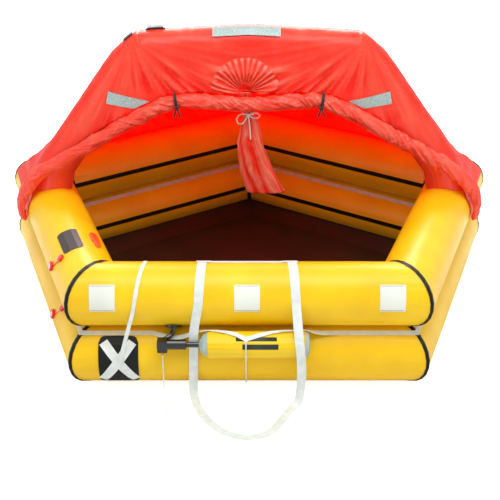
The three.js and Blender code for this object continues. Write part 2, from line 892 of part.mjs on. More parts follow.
function pouchRing({ x, y, z, width, depth, pleat }) {
  const ring = [];
  for (const [from, to] of [[-172, -8], [8, 172]]) {
    for (let j = 0; j < sleevePoints; j++) {
      const part = j / (sleevePoints - 1);
      const turn = lerp(from, to, part);
      const fold = 1 + pleat * Math.cos(part * sleevePleats * 2 * Math.PI);
      ring.push(point(
        x + (width / 2) * fold * cosDeg(turn),
        y + (depth / 2) * fold * sinDeg(turn),
        z,
      ));
    }
  }
  return ring;
}

function addSleeve(canopy) {
  const neck = { width: sleeveNeckWidth, depth: sleeveNeckDepth, pleat: 0 };
  const rings = [
    ...[1, 0.72, 0.42].map((part) => fanRing(canopy, sleeveRadius * part)),
    ...[
      { ...neck, x: sleeveOffset, y: -125, z: 1150 },
      { ...neck, x: sleeveOffset, y: -118, z: 1140 },
      { ...neck, x: sleeveOffset, y: -94, z: 1098 },
      { x: sleeveTie.x, y: sleeveTie.y, z: sleeveTie.z, width: 50, depth: 18, pleat: 0.04 },
      { x: 2, y: -92, z: 985, width: 78, depth: 34, pleat: 0.1 },
      { x: 5, y: -88, z: 873, width: 127, depth: 46, pleat: 0.1 },
      { x: 37, y: -80, z: 718, width: 171, depth: 54, pleat: 0.08 },
      { x: 92, y: -74, z: sleeveHemHeight, width: sleeveHemWidth, depth: 50, pleat: 0.05 },
    ].map(pouchRing),
  ];
  addPiece('lookout_sleeve', loft(rings), orange, 0.5);
}

// Drawcord: a band round the neck under the roll, tied in a bow
function addDrawcord() {
  const { x, y, z } = sleeveTie;
  const reach = { width: 50 * 1.04 + 8, depth: 18 * 1.04 + 10 };
  const stops = Array.from({ length: 12 }, (_, i) => {
    const turn = (i / 12) * 360;
    const face = point(cosDeg(turn), sinDeg(turn), 0);
    return { at: point(x + (reach.width / 2) * face.x, y + (reach.depth / 2) * face.y, z), face };
  });
  const knot = point(x, y - reach.depth / 2 - 6, z);
  const bow = (points, steps) => cordAlong(
    [knot, ...points.map(([px, py, pz]) => knot.clone().add(point(px, py, pz)))],
    drawcordDiameter,
    steps,
  );
  addPiece('sleeve_drawcord', join(
    strap(stops, 6, 3, { closed: true }),
    knotAt(8, knot),
    bow([[-38, -4, 8], [-62, -2, -24], [-44, 0, -56], [-22, -2, -38], [-3, -1, -3]], 7),
    bow([[30, -4, 12], [62, -2, 4], [54, 0, -16], [24, -2, -16], [3, -1, -3]], 6),
    bow([[4, -8, -30], [9, -6, -80], [12, -4, -132]], 3),
  ), white, 0.6);
}

// Black ties hold the curtain roll. Their ends stop on either side of the sheet's hem.
function rollPartAt(x) {
  let low = 0;
  let high = 1;
  for (let i = 0; i < 30; i++) {
    const middle = (low + high) / 2;
    if (rollPath.getPointAt(middle).x < x) {
      low = middle;
    } else {
      high = middle;
    }
  }
  return (low + high) / 2;
}

function addCurtainTies() {
  const ties = { left: -tieReach, right: tieReach };
  for (const [name, x] of Object.entries(ties)) {
    const part = rollPartAt(x);
    const { centre, outward, back } = rollFrame(part);
    const facing = (turn) => point(0, 0, 0)
      .addScaledVector(outward, cosDeg(turn))
      .addScaledVector(back, sinDeg(turn));
    const place = (turn, r) => centre.clone().addScaledVector(facing(turn), r);
    const turns = [22, 0, -30, -60, -90, -120, -150, -180, -210, -240, -262];
    const band = turns.map((turn) => ({ at: place(turn, tieRadius), face: facing(turn) }));
    const tail = (lean) => [
      { at: place(-112, tieRadius + 4), face: facing(-112) },
      { at: place(-118, tieRadius + 14).add(point(lean / 2, 0, -18)), face: facing(-100) },
      { at: place(-118, tieRadius + 8).add(point(lean, 0, -48)), face: facing(-95) },
    ];
    addPiece(`curtain_tie_${name}`, join(
      strap(band, tieWidth, tieThickness),
      knotAt(8, place(-112, tieRadius + 7)),
      strap(tail(-16), tieTailWidth, tieThickness),
      strap(tail(18), tieTailWidth, tieThickness),
    ), black, 0.6);
  }
}

// Locator light and a cloth tab on the left half of the beam
function addTopFittings(canopy) {
  const down = point(0, 0, -1);
  const seatRays = ({ x, y, width, depth }) => evenSteps(2).reverse().map(
    (i) => evenSteps(4).reverse().map((j) => ({
      from: point(x + (i - 0.5) * width, y + (j - 0.5) * depth, 3000),
      direction: down,
    })),
  );
  const lens = { ...light, width: light.width - 16, depth: light.depth - 12 };
  const lightLift = 1.7;
  const lensLift = lightLift + lightBaseHeight + 0.8;
  addPiece('light_base', layOn(canopy, seatRays(light), lightBaseHeight, lightLift), black, 0.5);
  addPiece('light_lens', layOn(canopy, seatRays(lens), lightLensHeight, lensLift), white, 0.2);
  addPiece('canopy_tab', layOn(canopy, seatRays(tab), 5, 0.9), black, 0.6);
}

// Glued patches
function addPatches() {
  const frontPatches = { left: -673, middle: -9, right: 659 };
  for (const [name, along] of Object.entries(frontPatches)) {
    addPiece(`front_patch_${name}`, tubePatch({
      sideIndex: side.front,
      along,
      width: frontPatchWidth,
      axisZ: upperAxis,
      from: -6,
      to: 42,
      thickness: patchThickness,
      rounding: 22,
    }), palePatch, 0.45);
  }
  addPiece('sign_patch', tubePatch({
    sideIndex: side.left,
    along: 418,
    width: 225,
    axisZ: upperAxis,
    from: 54,
    to: 93,
    thickness: patchThickness,
    rounding: 18,
  }), darkPatch, 0.45);
}

// Filling valves: body, sprung poppet and a tethered cap that hangs beside it
function addValve(name, axisZ, valve, cap) {
  const body = turned([
    [valveRadius, 0],
    [valveRadius, valveHeight - 4],
    [valveRadius - 4, valveHeight],
    [valveBore, valveHeight],
    [valveBore, valveFloor],
  ], 16);
  const seat = (geometry, { along, angle }) => (
    standOnTube(geometry, side.left, along, axisZ, angle)
  );
  addPiece(`${name}_valve_body`, seat(body, valve), red, 0.35);

  const poppetTop = valveHeight - poppetRecess;
  const poppet = turned([
    [poppetRadius, poppetTop - poppetHeight],
    [poppetRadius, poppetTop],
  ], 16);
  addPiece(`${name}_valve_poppet`, seat(poppet, valve), white, 0.4);

  const plug = turned([
    [valveCapRadius, 0],
    [valveCapRadius, valveCapHeight - 2],
    [valveCapRadius - 3, valveCapHeight],
  ], 16);
  const tetherLift = gap + tetherThickness / 2;
  const tether = wrapAngles(valve.angle + 4, cap.angle - 2).map((angle) => {
    const part = (angle - valve.angle - 4) / (cap.angle - valve.angle - 6);
    const along = lerp(valve.along + valveRadius + 2, cap.along, part);
    const at = onTube(side.left, along, axisZ, radius + tetherLift, angle);
    const face = onTube(side.left, along, axisZ, radius + tetherLift + 1, angle).sub(at);
    return { at, face };
  });
  addPiece(`${name}_valve_cap`, join(seat(plug, cap), strap(tether, 8, tetherThickness)), red, 0.35);
}

function addValves() {
  addValve('upper', upperAxis, { along: 465, angle: 15 }, { along: 536, angle: 45 });
  addValve('lower', lowerAxis, { along: 390, angle: 15 }, { along: 473, angle: 45 });
}

// Safety knife in its flat sheath: a blunt blade end and a loop handle
function addKnife() {
  const outline = [
    [-78, -10], [-66, -20], [18, -20], [34, -14], [66, -14], [78, -6],
    [78, 6], [66, 14], [34, 14], [18, 20], [-66, 20], [-78, 10],
  ];
  const ring = (scale, z) => outline.map(([x, y]) => point(x * scale, y * scale, z));
  const sheath = loft([ring(1, 0), ring(1, knifeThickness - 4), ring(0.94, knifeThickness)]);
  addPiece('safety_knife', standOnTube(sheath, side.left, 441, upperAxis, 120), orange, 0.4);
}

// Gas cylinder on the lower tube, with its operating head to the left
const tubeEdgeRadius = facetedRadius(radius, halfFacet);
const cylinderSeat = tubeEdgeRadius + gap + cylinderRadius;
const cylinderOffset = cylinderSeat * cosDeg(cylinderSeatAngle);
const cylinderY = -(apothem + cylinderOffset);
const cylinderZ = lowerAxis + cylinderSeat * sinDeg(cylinderSeatAngle);

function overCylinder(x, r, angle) {
  const face = point(0, -cosDeg(angle), sinDeg(angle));
  return { at: point(x, cylinderY, cylinderZ).addScaledVector(face, r), face };
}

function addCylinder() {
  const bottle = turned([
    [13, cylinderLeftEnd],
    [30, cylinderLeftEnd + 8],
    [48, cylinderLeftEnd + 20],
    [57, cylinderLeftEnd + 36],
    [cylinderRadius, cylinderLeftEnd + 52],
    [cylinderRadius, cylinderRightEnd - 20],
    [54, cylinderRightEnd - 6],
    [38, cylinderRightEnd],
  ], 20);
  addPiece('gas_cylinder', alongX(bottle, 0, cylinderY, cylinderZ), silver, 0.35, 0.6);
}

// The cloth saddle goes over the cylinder and is glued to the tube above and below it
const saddleStep = 21;
const saddleInner = (cylinderRadius + gap) / cosDeg(saddleStep / 2);
const saddleOuter = saddleInner + clothThickness;

function addCylinderSleeve() {
  const arcTurns = Array.from({ length: 11 }, (_, i) => 140.5 - i * saddleStep);
  const onArc = (r) => arcTurns.map((turn) => [
    cylinderOffset + r * cosDeg(turn),
    cylinderZ + r * sinDeg(turn),
  ]);
  const onFoot = (flat, angles) => angles.map((angle) => {
    const r = facetedRadius(flat, angle);
    return [r * cosDeg(angle), lowerAxis + r * sinDeg(angle)];
  });
  const upperFoot = [65, 53.5];
  const lowerFoot = [17, 8.5];
  const skin = (arcRadius, flat) => [
    ...onFoot(flat, upperFoot),
    ...onArc(arcRadius),
    ...onFoot(flat, lowerFoot),
  ];
  const section = [
    ...skin(saddleOuter, radius + gap + clothThickness),
    ...skin(saddleInner, radius + gap).reverse(),
  ];
  const rings = [sleeveClothLeft, sleeveClothRight].map((x) => section.map(
    ([offset, z]) => point(x, -(apothem + offset), z),
  ));
  addPiece('cylinder_sleeve', loft(rings), yellow, 0.5);
}

const headBoss = { radius: 14, reach: 30 };

function addOperatingHead() {
  const body = alongX(turned([
    [headRadius - 3, headLeftEnd],
    [headRadius, headLeftEnd + 3],
    [headRadius, headRightEnd - 4],
    [headNeckRadius, headRightEnd],
    [headNeckRadius, cylinderLeftEnd - gap],
  ], 16), 0, cylinderY, cylinderZ);
  const top = cylinderZ + headRadius + 2;
  const headBlockBottom = cylinderZ - headBlockDrop;
  const block = boxAt(
    headBlockWidth,
    headBlockWidth,
    top - headBlockBottom,
    firingPinX,
    cylinderY,
    (top + headBlockBottom) / 2,
  );
  const boss = turned([[headBoss.radius, 0], [headBoss.radius, headBoss.reach]], 16)
    .rotateX(-Math.PI / 2).translate(hoseHeadX, cylinderY, cylinderZ);
  const boreDepth = firingPinLength - firingPinGrip + 2 * gap;
  const bore = turned([
    [firingPinRadius + gap, headBlockBottom - 5],
    [firingPinRadius + gap, headBlockBottom + boreDepth],
  ], 16).translate(firingPinX, cylinderY, 0);
  addPiece('operating_head', cut(join(body, block, boss), bore), black, 0.3);

  const pinFoot = headBlockBottom - firingPinGrip;
  const pin = turned([
    [firingPinRadius - 2, pinFoot],
    [firingPinRadius, pinFoot + 3],
    [firingPinRadius, pinFoot + firingPinLength - 1],
    [firingPinRadius - 1, pinFoot + firingPinLength],
  ], 16).translate(firingPinX, cylinderY, 0);
  addPiece('firing_pin', pin, brass, 0.35, 0.8);

  const cordRadius = firingCordDiameter / 2;
  addPiece('firing_cord', cordAlong([
    point(firingPinX, cylinderY, pinFoot - gap),
    point(firingPinX - 1, cylinderY - 1, 150),
    point(firingPinX + 1, cylinderY - 6, 60),
    point(firingPinX + 4, cylinderY - 22, 14),
    point(firingPinX + 9, cylinderY - 57, cordRadius + 1),
    point(firingPinX + 17, cylinderY - 127, cordRadius + 0.5),
    point(firingPinX + 26, cylinderY - 205, cordRadius + 0.5),
  ], firingCordDiameter, 13), white, 0.6);
}

function addInflationHose() {
  const disc = turned([
    [inletValveRadius, 0],
    [inletValveRadius, inletValveHeight - 4],
    [inletValveRadius - 8, inletValveHeight],
  ], 20);
  addPiece('inlet_valve', standOnTube(disc, side.front, inletValveX, upperAxis, -60), black, 0.5);
  const outOfDisc = (lift) => onTube(side.front, inletValveX, upperAxis, radius + lift, -60);
  const bossEnd = cylinderY + headBoss.reach;
  addPiece('inflation_hose', cordAlong([
    outOfDisc(inletValveHeight + 2 * gap),
    outOfDisc(inletValveHeight + 14),
    point(inletValveX - 12, bossEnd + 34, cylinderZ + 13),
    point(hoseHeadX, bossEnd + 14, cylinderZ),
    point(hoseHeadX, bossEnd + 3 * gap, cylinderZ),
  ], 2 * hoseRadius, 9, 10), black, 0.5);
}

// Grab lines of flat webbing, glued to the lower tube
function addLifelines() {
  const wholeLoop = (angle) => loft(
    Array.from({ length: sideCount }, (_, corner) => (
      cornerRings(corner, lowerAxis, angle, lifelineWidth, webbingThickness)
    )).flat(),
    { closed: true },
  );
  addPiece('inner_lifeline', wholeLoop(120), white, 0.6);

  const onFacet = (x) => ({
    at: onTube(side.front, x, lowerAxis, radius + gap + webbingThickness / 2, 60),
    face: point(0, -cosDeg(60), sinDeg(60)),
  });
  const ride = saddleOuter + webbingThickness / 2 + 4;
  const free = (x, clear, angle, lean) => ({
    at: onSide(
      side.front,
      x,
      (radius + clear) * cosDeg(angle),
      lowerAxis + (radius + clear) * sinDeg(angle),
    ),
    face: point(0, -cosDeg(lean), sinDeg(lean)),
  });
  const frontStops = [
    onFacet(-450),
    free(-400, 7.6, 52.8, 56),
    free(-350, 9.2, 47.6, 50),
    free(-300, 29.4, 49.5, 62),
    free(-245, 62.1, 51.7, 80),
    overCylinder(-190, ride, 112),
    overCylinder(-150, ride, 100),
    overCylinder(-105, ride, 88),
    overCylinder(-60, ride, 74),
    overCylinder(lifelineKnotX, ride, 51),
    overCylinder(50, ride, 70),
    overCylinder(100, ride, 86),
    overCylinder(150, ride, 98),
    overCylinder(225, ride, 108),
    overCylinder(264, ride, 116),
    free(300, 37.9, 54.8, 78),
    free(335, 20.1, 56.3, 66),
    onFacet(420),
  ];
  const rings = [
    ...strapRings(frontStops, lifelineWidth, webbingThickness),
    ...[0, 1, 2, 3, 4].flatMap((corner) => (
      cornerRings(corner, lowerAxis, 60, lifelineWidth, webbingThickness)
    )),
  ];
  addPiece('outer_lifeline', loft(rings, { closed: true }), white, 0.6);

  // The knot is tied round the lower edge of the webbing, in front of the cylinder
  const knotRadius = 8;
  const knot = overCylinder(lifelineKnotX, ride + knotRadius + 2, 38).at;
  const clear = tubeEdgeRadius + downhaulDiameter / 2 + 1.6;
  const downTube = (angle, r) => onSide(
    side.front,
    lifelineKnotX,
    r * cosDeg(angle),
    lowerAxis + r * sinDeg(angle),
  );
  addPiece('lifeline_downhaul', join(
    knotAt(knotRadius, knot),
    cordAlong([
      knot,
      overCylinder(lifelineKnotX, ride + 4, 2).at,
      overCylinder(lifelineKnotX, ride + 6, -35).at,
      downTube(8, clear + 24),
      downTube(-6, clear),
      downTube(-24, clear),
      downTube(-42, clear),
      downTube(-54, clear + 1),
    ], downhaulDiameter, 11),
  ), white, 0.6);
}

// Boarding ladder: one loop of wide webbing, stitched down inside the front tube
function addLadder() {
  const legFlat = radius + gap + webbingThickness / 2;
  const legStop = (x, angle) => ({
    at: onTube(side.front, x, upperAxis, legFlat, angle),
    face: point(0, -cosDeg(angle), sinDeg(angle)),
  });
  const overTube = (topX, sideX) => wrapAngles(2, 110).reverse().map((angle) => (
    legStop(lerp(sideX, topX, angle / 108), angle)
  ));
  const up = point(0, 0, 1);
  const forward = point(0, -1, 0);
  const leaning = point(0, -1, 1);
  const lying = webbingThickness / 2 + 1;
  const ahead = (x, out, z) => point(x, -(apothem + radius + out), z);
  const stops = [
    ...overTube(-ladderHalfSpan - 8, -ladderHalfSpan - 26),
    { at: ahead(-256, 3.4, 320), face: forward },
    { at: ahead(-258, 3.4, 230), face: forward },
    { at: ahead(-262, 5.4, 70), face: forward },
    { at: ahead(-262, 14.4, 18), face: leaning },
    { at: ahead(-258, 38.4, lying + 3), face: up },
    { at: ahead(-232, 138.4, lying), face: up },
    { at: ahead(-176, 258.4, lying), face: up },
    { at: ahead(-100, 340.4, lying), face: up },
    { at: ahead(0, ladderReach - ladderWidth / 2, lying), face: up },
    { at: ahead(88, 338.4, lying), face: up },
    { at: ahead(146, 243.4, lying), face: up },
    { at: ahead(190, 154.4, lying + 3), face: up },
    { at: ahead(228, 108.4, 20), face: leaning },
    { at: ahead(240, 90.4, 80), face: forward },
    { at: ahead(243, 88.4, 180), face: forward },
    { at: ahead(236, 89.4, cylinderZ + 2), face: forward },
    { at: ahead(230, 76.4, cylinderZ + 50), face: point(0, -0.87, 0.49) },
    ...overTube(ladderHalfSpan - 9, ladderHalfSpan + 10).reverse(),
  ];
  addPiece('boarding_ladder', strap(stops, ladderWidth, webbingThickness), white, 0.6);

  const anchorAngle = 105;
  const anchorStop = ([x, lift]) => ({
    at: onTube(side.front, x, upperAxis, legFlat + lift, anchorAngle),
    face: point(0, -cosDeg(anchorAngle), sinDeg(anchorAngle)),
  });
  const overLeg = webbingThickness + gap;
  addPiece('boarding_ladder_anchor', strap([
    [-246, overLeg], [-186, overLeg], [-170, 0], [150, 0], [168, overLeg], [228, overLeg],
  ].map(anchorStop), anchorWidth, webbingThickness), white, 0.6);
}

// Tow point: a patch on the lower tube, crossed webbing on it and the line led over the tubes
function addTowPoint() {
  const { x, width, from, to } = towPatch;
  addPiece('tow_patch', tubePatch({
    sideIndex: side.front,
    along: x,
    width,
    axisZ: lowerAxis,
    from,
    to,
    thickness: patchThickness,
    rounding: 34,
  }), black, 0.45);

  const stopAt = (axisZ, flat) => ([along, angle]) => ({
    at: onTube(side.front, along, axisZ, flat, angle),
    face: point(0, -cosDeg(angle), sinDeg(angle)),
  });
  const crossFlat = radius + patchThickness + 2 * gap + webbingThickness / 2 + 2;
  const crossing = (start, end, rise = 0) => {
    const [low, high] = [Math.min(start[1], end[1]), Math.max(start[1], end[1])];
    return wrapAngles(low, high).map((angle) => [
      lerp(start[0], end[0], (angle - start[1]) / (end[1] - start[1])),
      angle,
    ]).map(stopAt(lowerAxis, crossFlat + rise));
  };
  addPiece('tow_patch_webbing', join(
    strap(crossing([-682, 42], [-532, -33]), crossWidth, webbingThickness),
    strap(crossing([-690, -33], [-545, 42], crossRise), crossWidth, webbingThickness),
  ), white, 0.6);

  const lineFlat = radius + gap + webbingThickness / 2;
  const lineStart = crossFlat + crossRise + webbingThickness + 3;
  addPiece('tow_line', strap([
    stopAt(lowerAxis, lineStart)([-612, -2]),
    stopAt(lowerAxis, lineStart)([-606, 6]),
    stopAt(upperAxis, lineFlat + 2)([-534, -7.5]),
    ...wrapAngles(7.5, 124).map((angle) => [lerp(-530, -486, Math.min(1, angle / 97)), angle])
      .map(stopAt(upperAxis, lineFlat)),
  ], towLineWidth, webbingThickness), white, 0.6);
}

addBuoyancyTubes();
addFloor();
addArch();
addRoll();
const canopyMesh = addCanopy();
addReflectors(canopyMesh);
addSleeve(canopyMesh);
addDrawcord();
addCurtainTies();
addTopFittings(canopyMesh);
addPatches();
addValves();
addKnife();
addCylinder();
addCylinderSleeve();
addOperatingHead();
addInflationHose();
addLifelines();
addLadder();
addTowPoint();

export default raft;
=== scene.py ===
# %% [markdown]
# This scene dresses an inflated liferaft: two stacked buoyancy tubes, an arch, a draped canopy
# with its entrance curtain rolled up, webbing, valves and a gas cylinder. The frame comes first,
# because every later piece is placed from it, in metres.

# %% The frame
import math

import bmesh
import bpy
import numpy as np
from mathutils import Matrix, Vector
from mathutils.bvhtree import BVHTree
from mathutils.kdtree import KDTree


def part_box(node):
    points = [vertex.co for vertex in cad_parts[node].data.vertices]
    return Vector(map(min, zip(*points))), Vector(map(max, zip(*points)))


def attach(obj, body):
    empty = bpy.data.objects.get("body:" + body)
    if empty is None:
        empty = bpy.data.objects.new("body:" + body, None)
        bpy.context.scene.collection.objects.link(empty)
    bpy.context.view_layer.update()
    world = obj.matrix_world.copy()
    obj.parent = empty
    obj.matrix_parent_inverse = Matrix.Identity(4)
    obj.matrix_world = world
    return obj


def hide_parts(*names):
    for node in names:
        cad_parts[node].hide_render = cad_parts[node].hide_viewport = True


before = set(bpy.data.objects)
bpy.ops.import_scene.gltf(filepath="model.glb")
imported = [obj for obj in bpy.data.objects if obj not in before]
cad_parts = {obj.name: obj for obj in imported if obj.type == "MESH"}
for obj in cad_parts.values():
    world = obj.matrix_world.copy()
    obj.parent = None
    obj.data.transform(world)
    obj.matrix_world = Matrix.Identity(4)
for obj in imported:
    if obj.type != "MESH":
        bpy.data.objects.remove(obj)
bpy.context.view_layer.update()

# %% [markdown]
# The camera is nearly six metres in front and three metres up, and looks down by 25 degrees.
# A lens of 83 mm on a 36 mm sensor gives the picture's narrow field of view.

# %% Camera
camera_data = bpy.data.cameras.new("camera")
camera_data.lens = 83.1
camera_data.sensor_width = 36
camera = bpy.data.objects.new("camera", camera_data)
camera.location = (0.0047, -5.8352, 2.9365)
camera.rotation_euler = (math.radians(64.902), 0, 0)
bpy.context.scene.collection.objects.link(camera)
bpy.context.scene.camera = camera
bpy.context.scene.view_settings.view_transform = "Standard"

# %% [markdown]
# Every soft piece here is a row of rings of points that becomes a mesh. A tube's rings are its
# sections. A sheet's rings run along its front and back along its other face.

# %% Grid helpers
def unit(v):
    """Vectors of length one."""
    return v / np.maximum(np.linalg.norm(v, axis=-1, keepdims=True), 1e-12)


def ring_faces(count, around, closed):
    """Quads between rings whose points are numbered ring by ring."""
    i = np.arange(count if closed else count - 1)[:, None]
    j = np.arange(around)[None, :]
    here, beside = i * around + j, i * around + (j + 1) % around
    next_ring = (i + 1) % count
    beyond, across = next_ring * around + j, next_ring * around + (j + 1) % around
    return np.stack([here, beside, across, beyond], axis=-1).reshape(-1, 4)


def mesh_piece(name, points, faces, material, body="raft", stands_for=(), smooth=True,
               fold_shade=None):
    """Makes a piece from points and faces, with outward normals, and lets it ride on a body."""
    mesh = bpy.data.meshes.new(name)
    mesh.from_pydata(np.asarray(points).reshape(-1, 3).tolist(), [],
                     [list(map(int, face)) for face in faces])
    builder = bmesh.new()
    builder.from_mesh(mesh)
    bmesh.ops.recalc_face_normals(builder, faces=builder.faces)
    builder.to_mesh(mesh)
    builder.free()
    mesh.polygons.foreach_set("use_smooth", [smooth] * len(mesh.polygons))
    mesh.materials.append(material)
    # The per-point factor given here is painted shade and highlight: low in fold hollows, high on
    # the tops.
    if fold_shade is not None:
        values = mesh.attributes.new("fold_shade", "FLOAT", "POINT")
        values.data.foreach_set("value", np.clip(np.asarray(fold_shade, float).ravel(), 0, 1))
    piece = bpy.data.objects.new(name, mesh)
    bpy.context.scene.collection.objects.link(piece)
    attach(piece, body)
    if stands_for:
        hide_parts(*stands_for)
    return piece


def tube_mesh(rings, closed=False):
    """Points and faces of a tube of rings, with flat ends unless it closes on itself."""
    count, around = rings.shape[:2]
    faces = [list(face) for face in ring_faces(count, around, closed)]
    if not closed:
        faces.append(list(range(around)))
        faces.append(list(range((count - 1) * around, count * around)))
    return rings.reshape(-1, 3), faces


def sheet_mesh(points, thickness):
    """A grid of points given a back at some thickness, and a rim all round."""
    normals = unit(np.cross(np.gradient(points, axis=0), np.gradient(points, axis=1)))
    rings = np.concatenate([points, (points + normals * thickness)[:, ::-1]], axis=1)
    return tube_mesh(rings)


def join_shells(*shells):
    """One mesh of several closed shells."""
    points, faces, start = [], [], 0
    for shell_points, shell_faces in shells:
        points.append(np.asarray(shell_points).reshape(-1, 3))
        faces += [[int(i) + start for i in face] for face in shell_faces]
        start += len(points[-1])
    return np.concatenate(points), faces


# %% [markdown]
# Cloth never lies smooth. Two kinds of noise give its folds: a soft one for swells, and a
# creased one, folded over at zero, for the sharp lines that thin coated nylon takes.

# %% Folds
def soft_noise(x, y, seed):
    """Smooth noise from -1 to 1 with one bump to each unit."""
    size = 256
    table = np.random.default_rng(seed).uniform(-1, 1, (size, size))
    cell_x, cell_y = np.floor(x).astype(int), np.floor(y).astype(int)
    part_x, part_y = x - cell_x, y - cell_y
    ease_x = part_x * part_x * (3 - 2 * part_x)
    ease_y = part_y * part_y * (3 - 2 * part_y)

    def corner(dx, dy):
        return table[(cell_x + dx) % size, (cell_y + dy) % size]

    low = corner(0, 0) * (1 - ease_x) + corner(1, 0) * ease_x
    high = corner(0, 1) * (1 - ease_x) + corner(1, 1) * ease_x
    return low * (1 - ease_y) + high * ease_y


def creases(x, y, seed, octaves=3):
    """Sharp ridges from 0 to 1, finer with each octave."""
    total, weight = 0.0, 0.0
    for octave in range(octaves):
        scale, share = 2.0 ** octave, 0.55 ** octave
        ridge = 1 - np.abs(soft_noise(x * scale, y * scale, seed + octave))
        total = total + share * ridge ** 3
        weight += share
    return total / weight


def curve_through(points, count):
    """Evenly spaced points on a smooth Catmull-Rom curve through the given ones."""
    p = np.asarray(points, float)
    p = np.concatenate([2 * p[:1] - p[1:2], p, 2 * p[-1:] - p[-2:-1]])
    dense = []
    for a, b, c, d in zip(p[:-3], p[1:-2], p[2:-1], p[3:]):
        spans = [max(np.linalg.norm(q - r), 1e-9) ** 0.5 for q, r in ((b, a), (c, b), (d, c))]
        t0, t1 = 0.0, spans[0]
        t2 = t1 + spans[1]
        t3 = t2 + spans[2]
        t = np.linspace(t1, t2, 40, endpoint=False)[:, None]
        a1 = (t1 - t) / (t1 - t0) * a + (t - t0) / (t1 - t0) * b
        a2 = (t2 - t) / (t2 - t1) * b + (t - t1) / (t2 - t1) * c
        a3 = (t3 - t) / (t3 - t2) * c + (t - t2) / (t3 - t2) * d
        b1 = (t2 - t) / (t2 - t0) * a1 + (t - t0) / (t2 - t0) * a2
        b2 = (t3 - t) / (t3 - t1) * a2 + (t - t1) / (t3 - t1) * a3
        dense.append((t2 - t) / (t2 - t1) * b1 + (t - t1) / (t2 - t1) * b2)
    dense = np.concatenate(dense + [p[-2:-1]])
    steps = np.linalg.norm(np.diff(dense, axis=0), axis=1)
    run = np.concatenate([[0], np.cumsum(steps)])
    wanted = np.linspace(0, run[-1], count)
    return np.stack([np.interp(wanted, run, dense[:, k]) for k in range(3)], axis=1)


def sweep(path, section, faces_along):
    """Rings of a section carried along a path. The section's y axis keeps near faces_along."""
    run = unit(np.gradient(path, axis=0))
    across = unit(np.cross(run, faces_along))
    normal = np.cross(across, run)
    section = np.asarray(section, float)
    return (
        path[:, None]
        + across[:, None] * section[:, :1]
        + normal[:, None] * section[:, 1:]
    )


def no_twist_sweep(path, radius, sides):
    """A round tube along any path, with a frame that is carried along without twist."""
    run = unit(np.gradient(path, axis=0))
    normal = np.cross(run[0], (0.3, 0.5, 0.8))
    normals = []
    for direction in run:
        normal = normal - direction * normal.dot(direction)
        normal = normal / np.linalg.norm(normal)
        normals.append(normal)
    turn = np.linspace(0, 2 * math.pi, sides, endpoint=False)
    circle = np.stack([radius * np.cos(turn), radius * np.sin(turn)], axis=1)
    return sweep(path, circle, np.array(normals))


# %% [markdown]
# Colours are written as sRGB hex values, as a paint chart gives them, and turned to the linear
# light that Blender renders with. One function adds every node, of the materials and the world.

# %% Material helpers
def linear(hex_color):
    """Linear colour with alpha from an sRGB hex value such as F2CF3A."""
    parts = [int(hex_color[i:i + 2], 16) / 255 for i in (0, 2, 4)]
    light = [p / 12.92 if p <= 0.04045 else ((p + 0.055) / 1.055) ** 2.4 for p in parts]
    return (*light, 1)


def add_node(material, kind, inputs=None, **settings):
    """A shader node. An input is given a value, or a socket to be linked to."""
    node = material.node_tree.nodes.new(kind)
    for name, value in settings.items():
        setattr(node, name, value)
    for name, value in (inputs or {}).items():
        if isinstance(value, bpy.types.NodeSocket):
            material.node_tree.links.new(value, node.inputs[name])
        else:
            node.inputs[name].default_value = value
    return node


def start_material(name):
    """An empty material, and the place on the object that its patterns are drawn by."""
    material = bpy.data.materials.new(name)
    material.use_nodes = True
    material.node_tree.nodes.clear()
    place = add_node(material, "ShaderNodeTexCoord").outputs["Object"]
    return material, place


def end_material(material, shader):
    add_node(material, "ShaderNodeOutputMaterial", {"Surface": shader.outputs[0]})
    return material


def noise(material, place, size_mm, detail):
    """Noise whose lumps have a real size."""
    return add_node(material, "ShaderNodeTexNoise", {
        "Vector": place, "Scale": 1000 / size_mm, "Detail": detail, "Roughness": 0.5,
    }).outputs["Fac"]


def ridges(material, place, size_mm, distortion):
    """Noise that is folded into sharp lines."""
    return add_node(material, "ShaderNodeTexNoise", {
        "Vector": place, "Scale": 1000 / size_mm, "Detail": 6, "Roughness": 0.5,
        "Distortion": distortion,
    }, noise_type="RIDGED_MULTIFRACTAL").outputs["Fac"]


def tinted(material, factor, dark, light, low=0.35, high=0.65):
    """Two tones of one colour, mixed where the factor runs from low to high."""
    spread = add_node(material, "ShaderNodeMapRange", {
        "Value": factor, "From Min": low, "From Max": high,
    }).outputs["Result"]
    return add_node(material, "ShaderNodeMix", {0: spread, 6: linear(dark), 7: linear(light)},
                    data_type="RGBA").outputs[2]


def raised(material, height, distance_mm, strength=0.5, under=None):
    """Bump normals of a height, laid over the ones of another bump."""
    inputs = {"Height": height, "Distance": distance_mm / 1000, "Strength": strength}
    if under:
        inputs["Normal"] = under
    return add_node(material, "ShaderNodeBump", inputs).outputs["Normal"]


# %% [markdown]
# The tubes are polyester cloth with a thick coat of yellow PVC, welded at the seams. The coat
# is smooth and a little glossy, so it gives the eye one broad soft highlight along each tube,
# and only a faint pebble of the cloth beneath.

# %% PVC coated cloth
SWELL_MM = 260


def coated_cloth(name, dark, light, roughness, pebble_mm=4, gloss=0.5):
    """Cloth under a smooth coat, with broad swells of tone and a fine pebble."""
    material, place = start_material(name)
    swell = noise(material, place, SWELL_MM, 2)
    pebble = noise(material, place, pebble_mm, 2)
    shader = add_node(material, "ShaderNodeBsdfPrincipled", {
        "Base Color": tinted(material, swell, dark, light),
        "Roughness": roughness,
        "Specular IOR Level": gloss,
        "Normal": raised(material, pebble, 0.25, 0.35),
    })
    return end_material(material, shader)


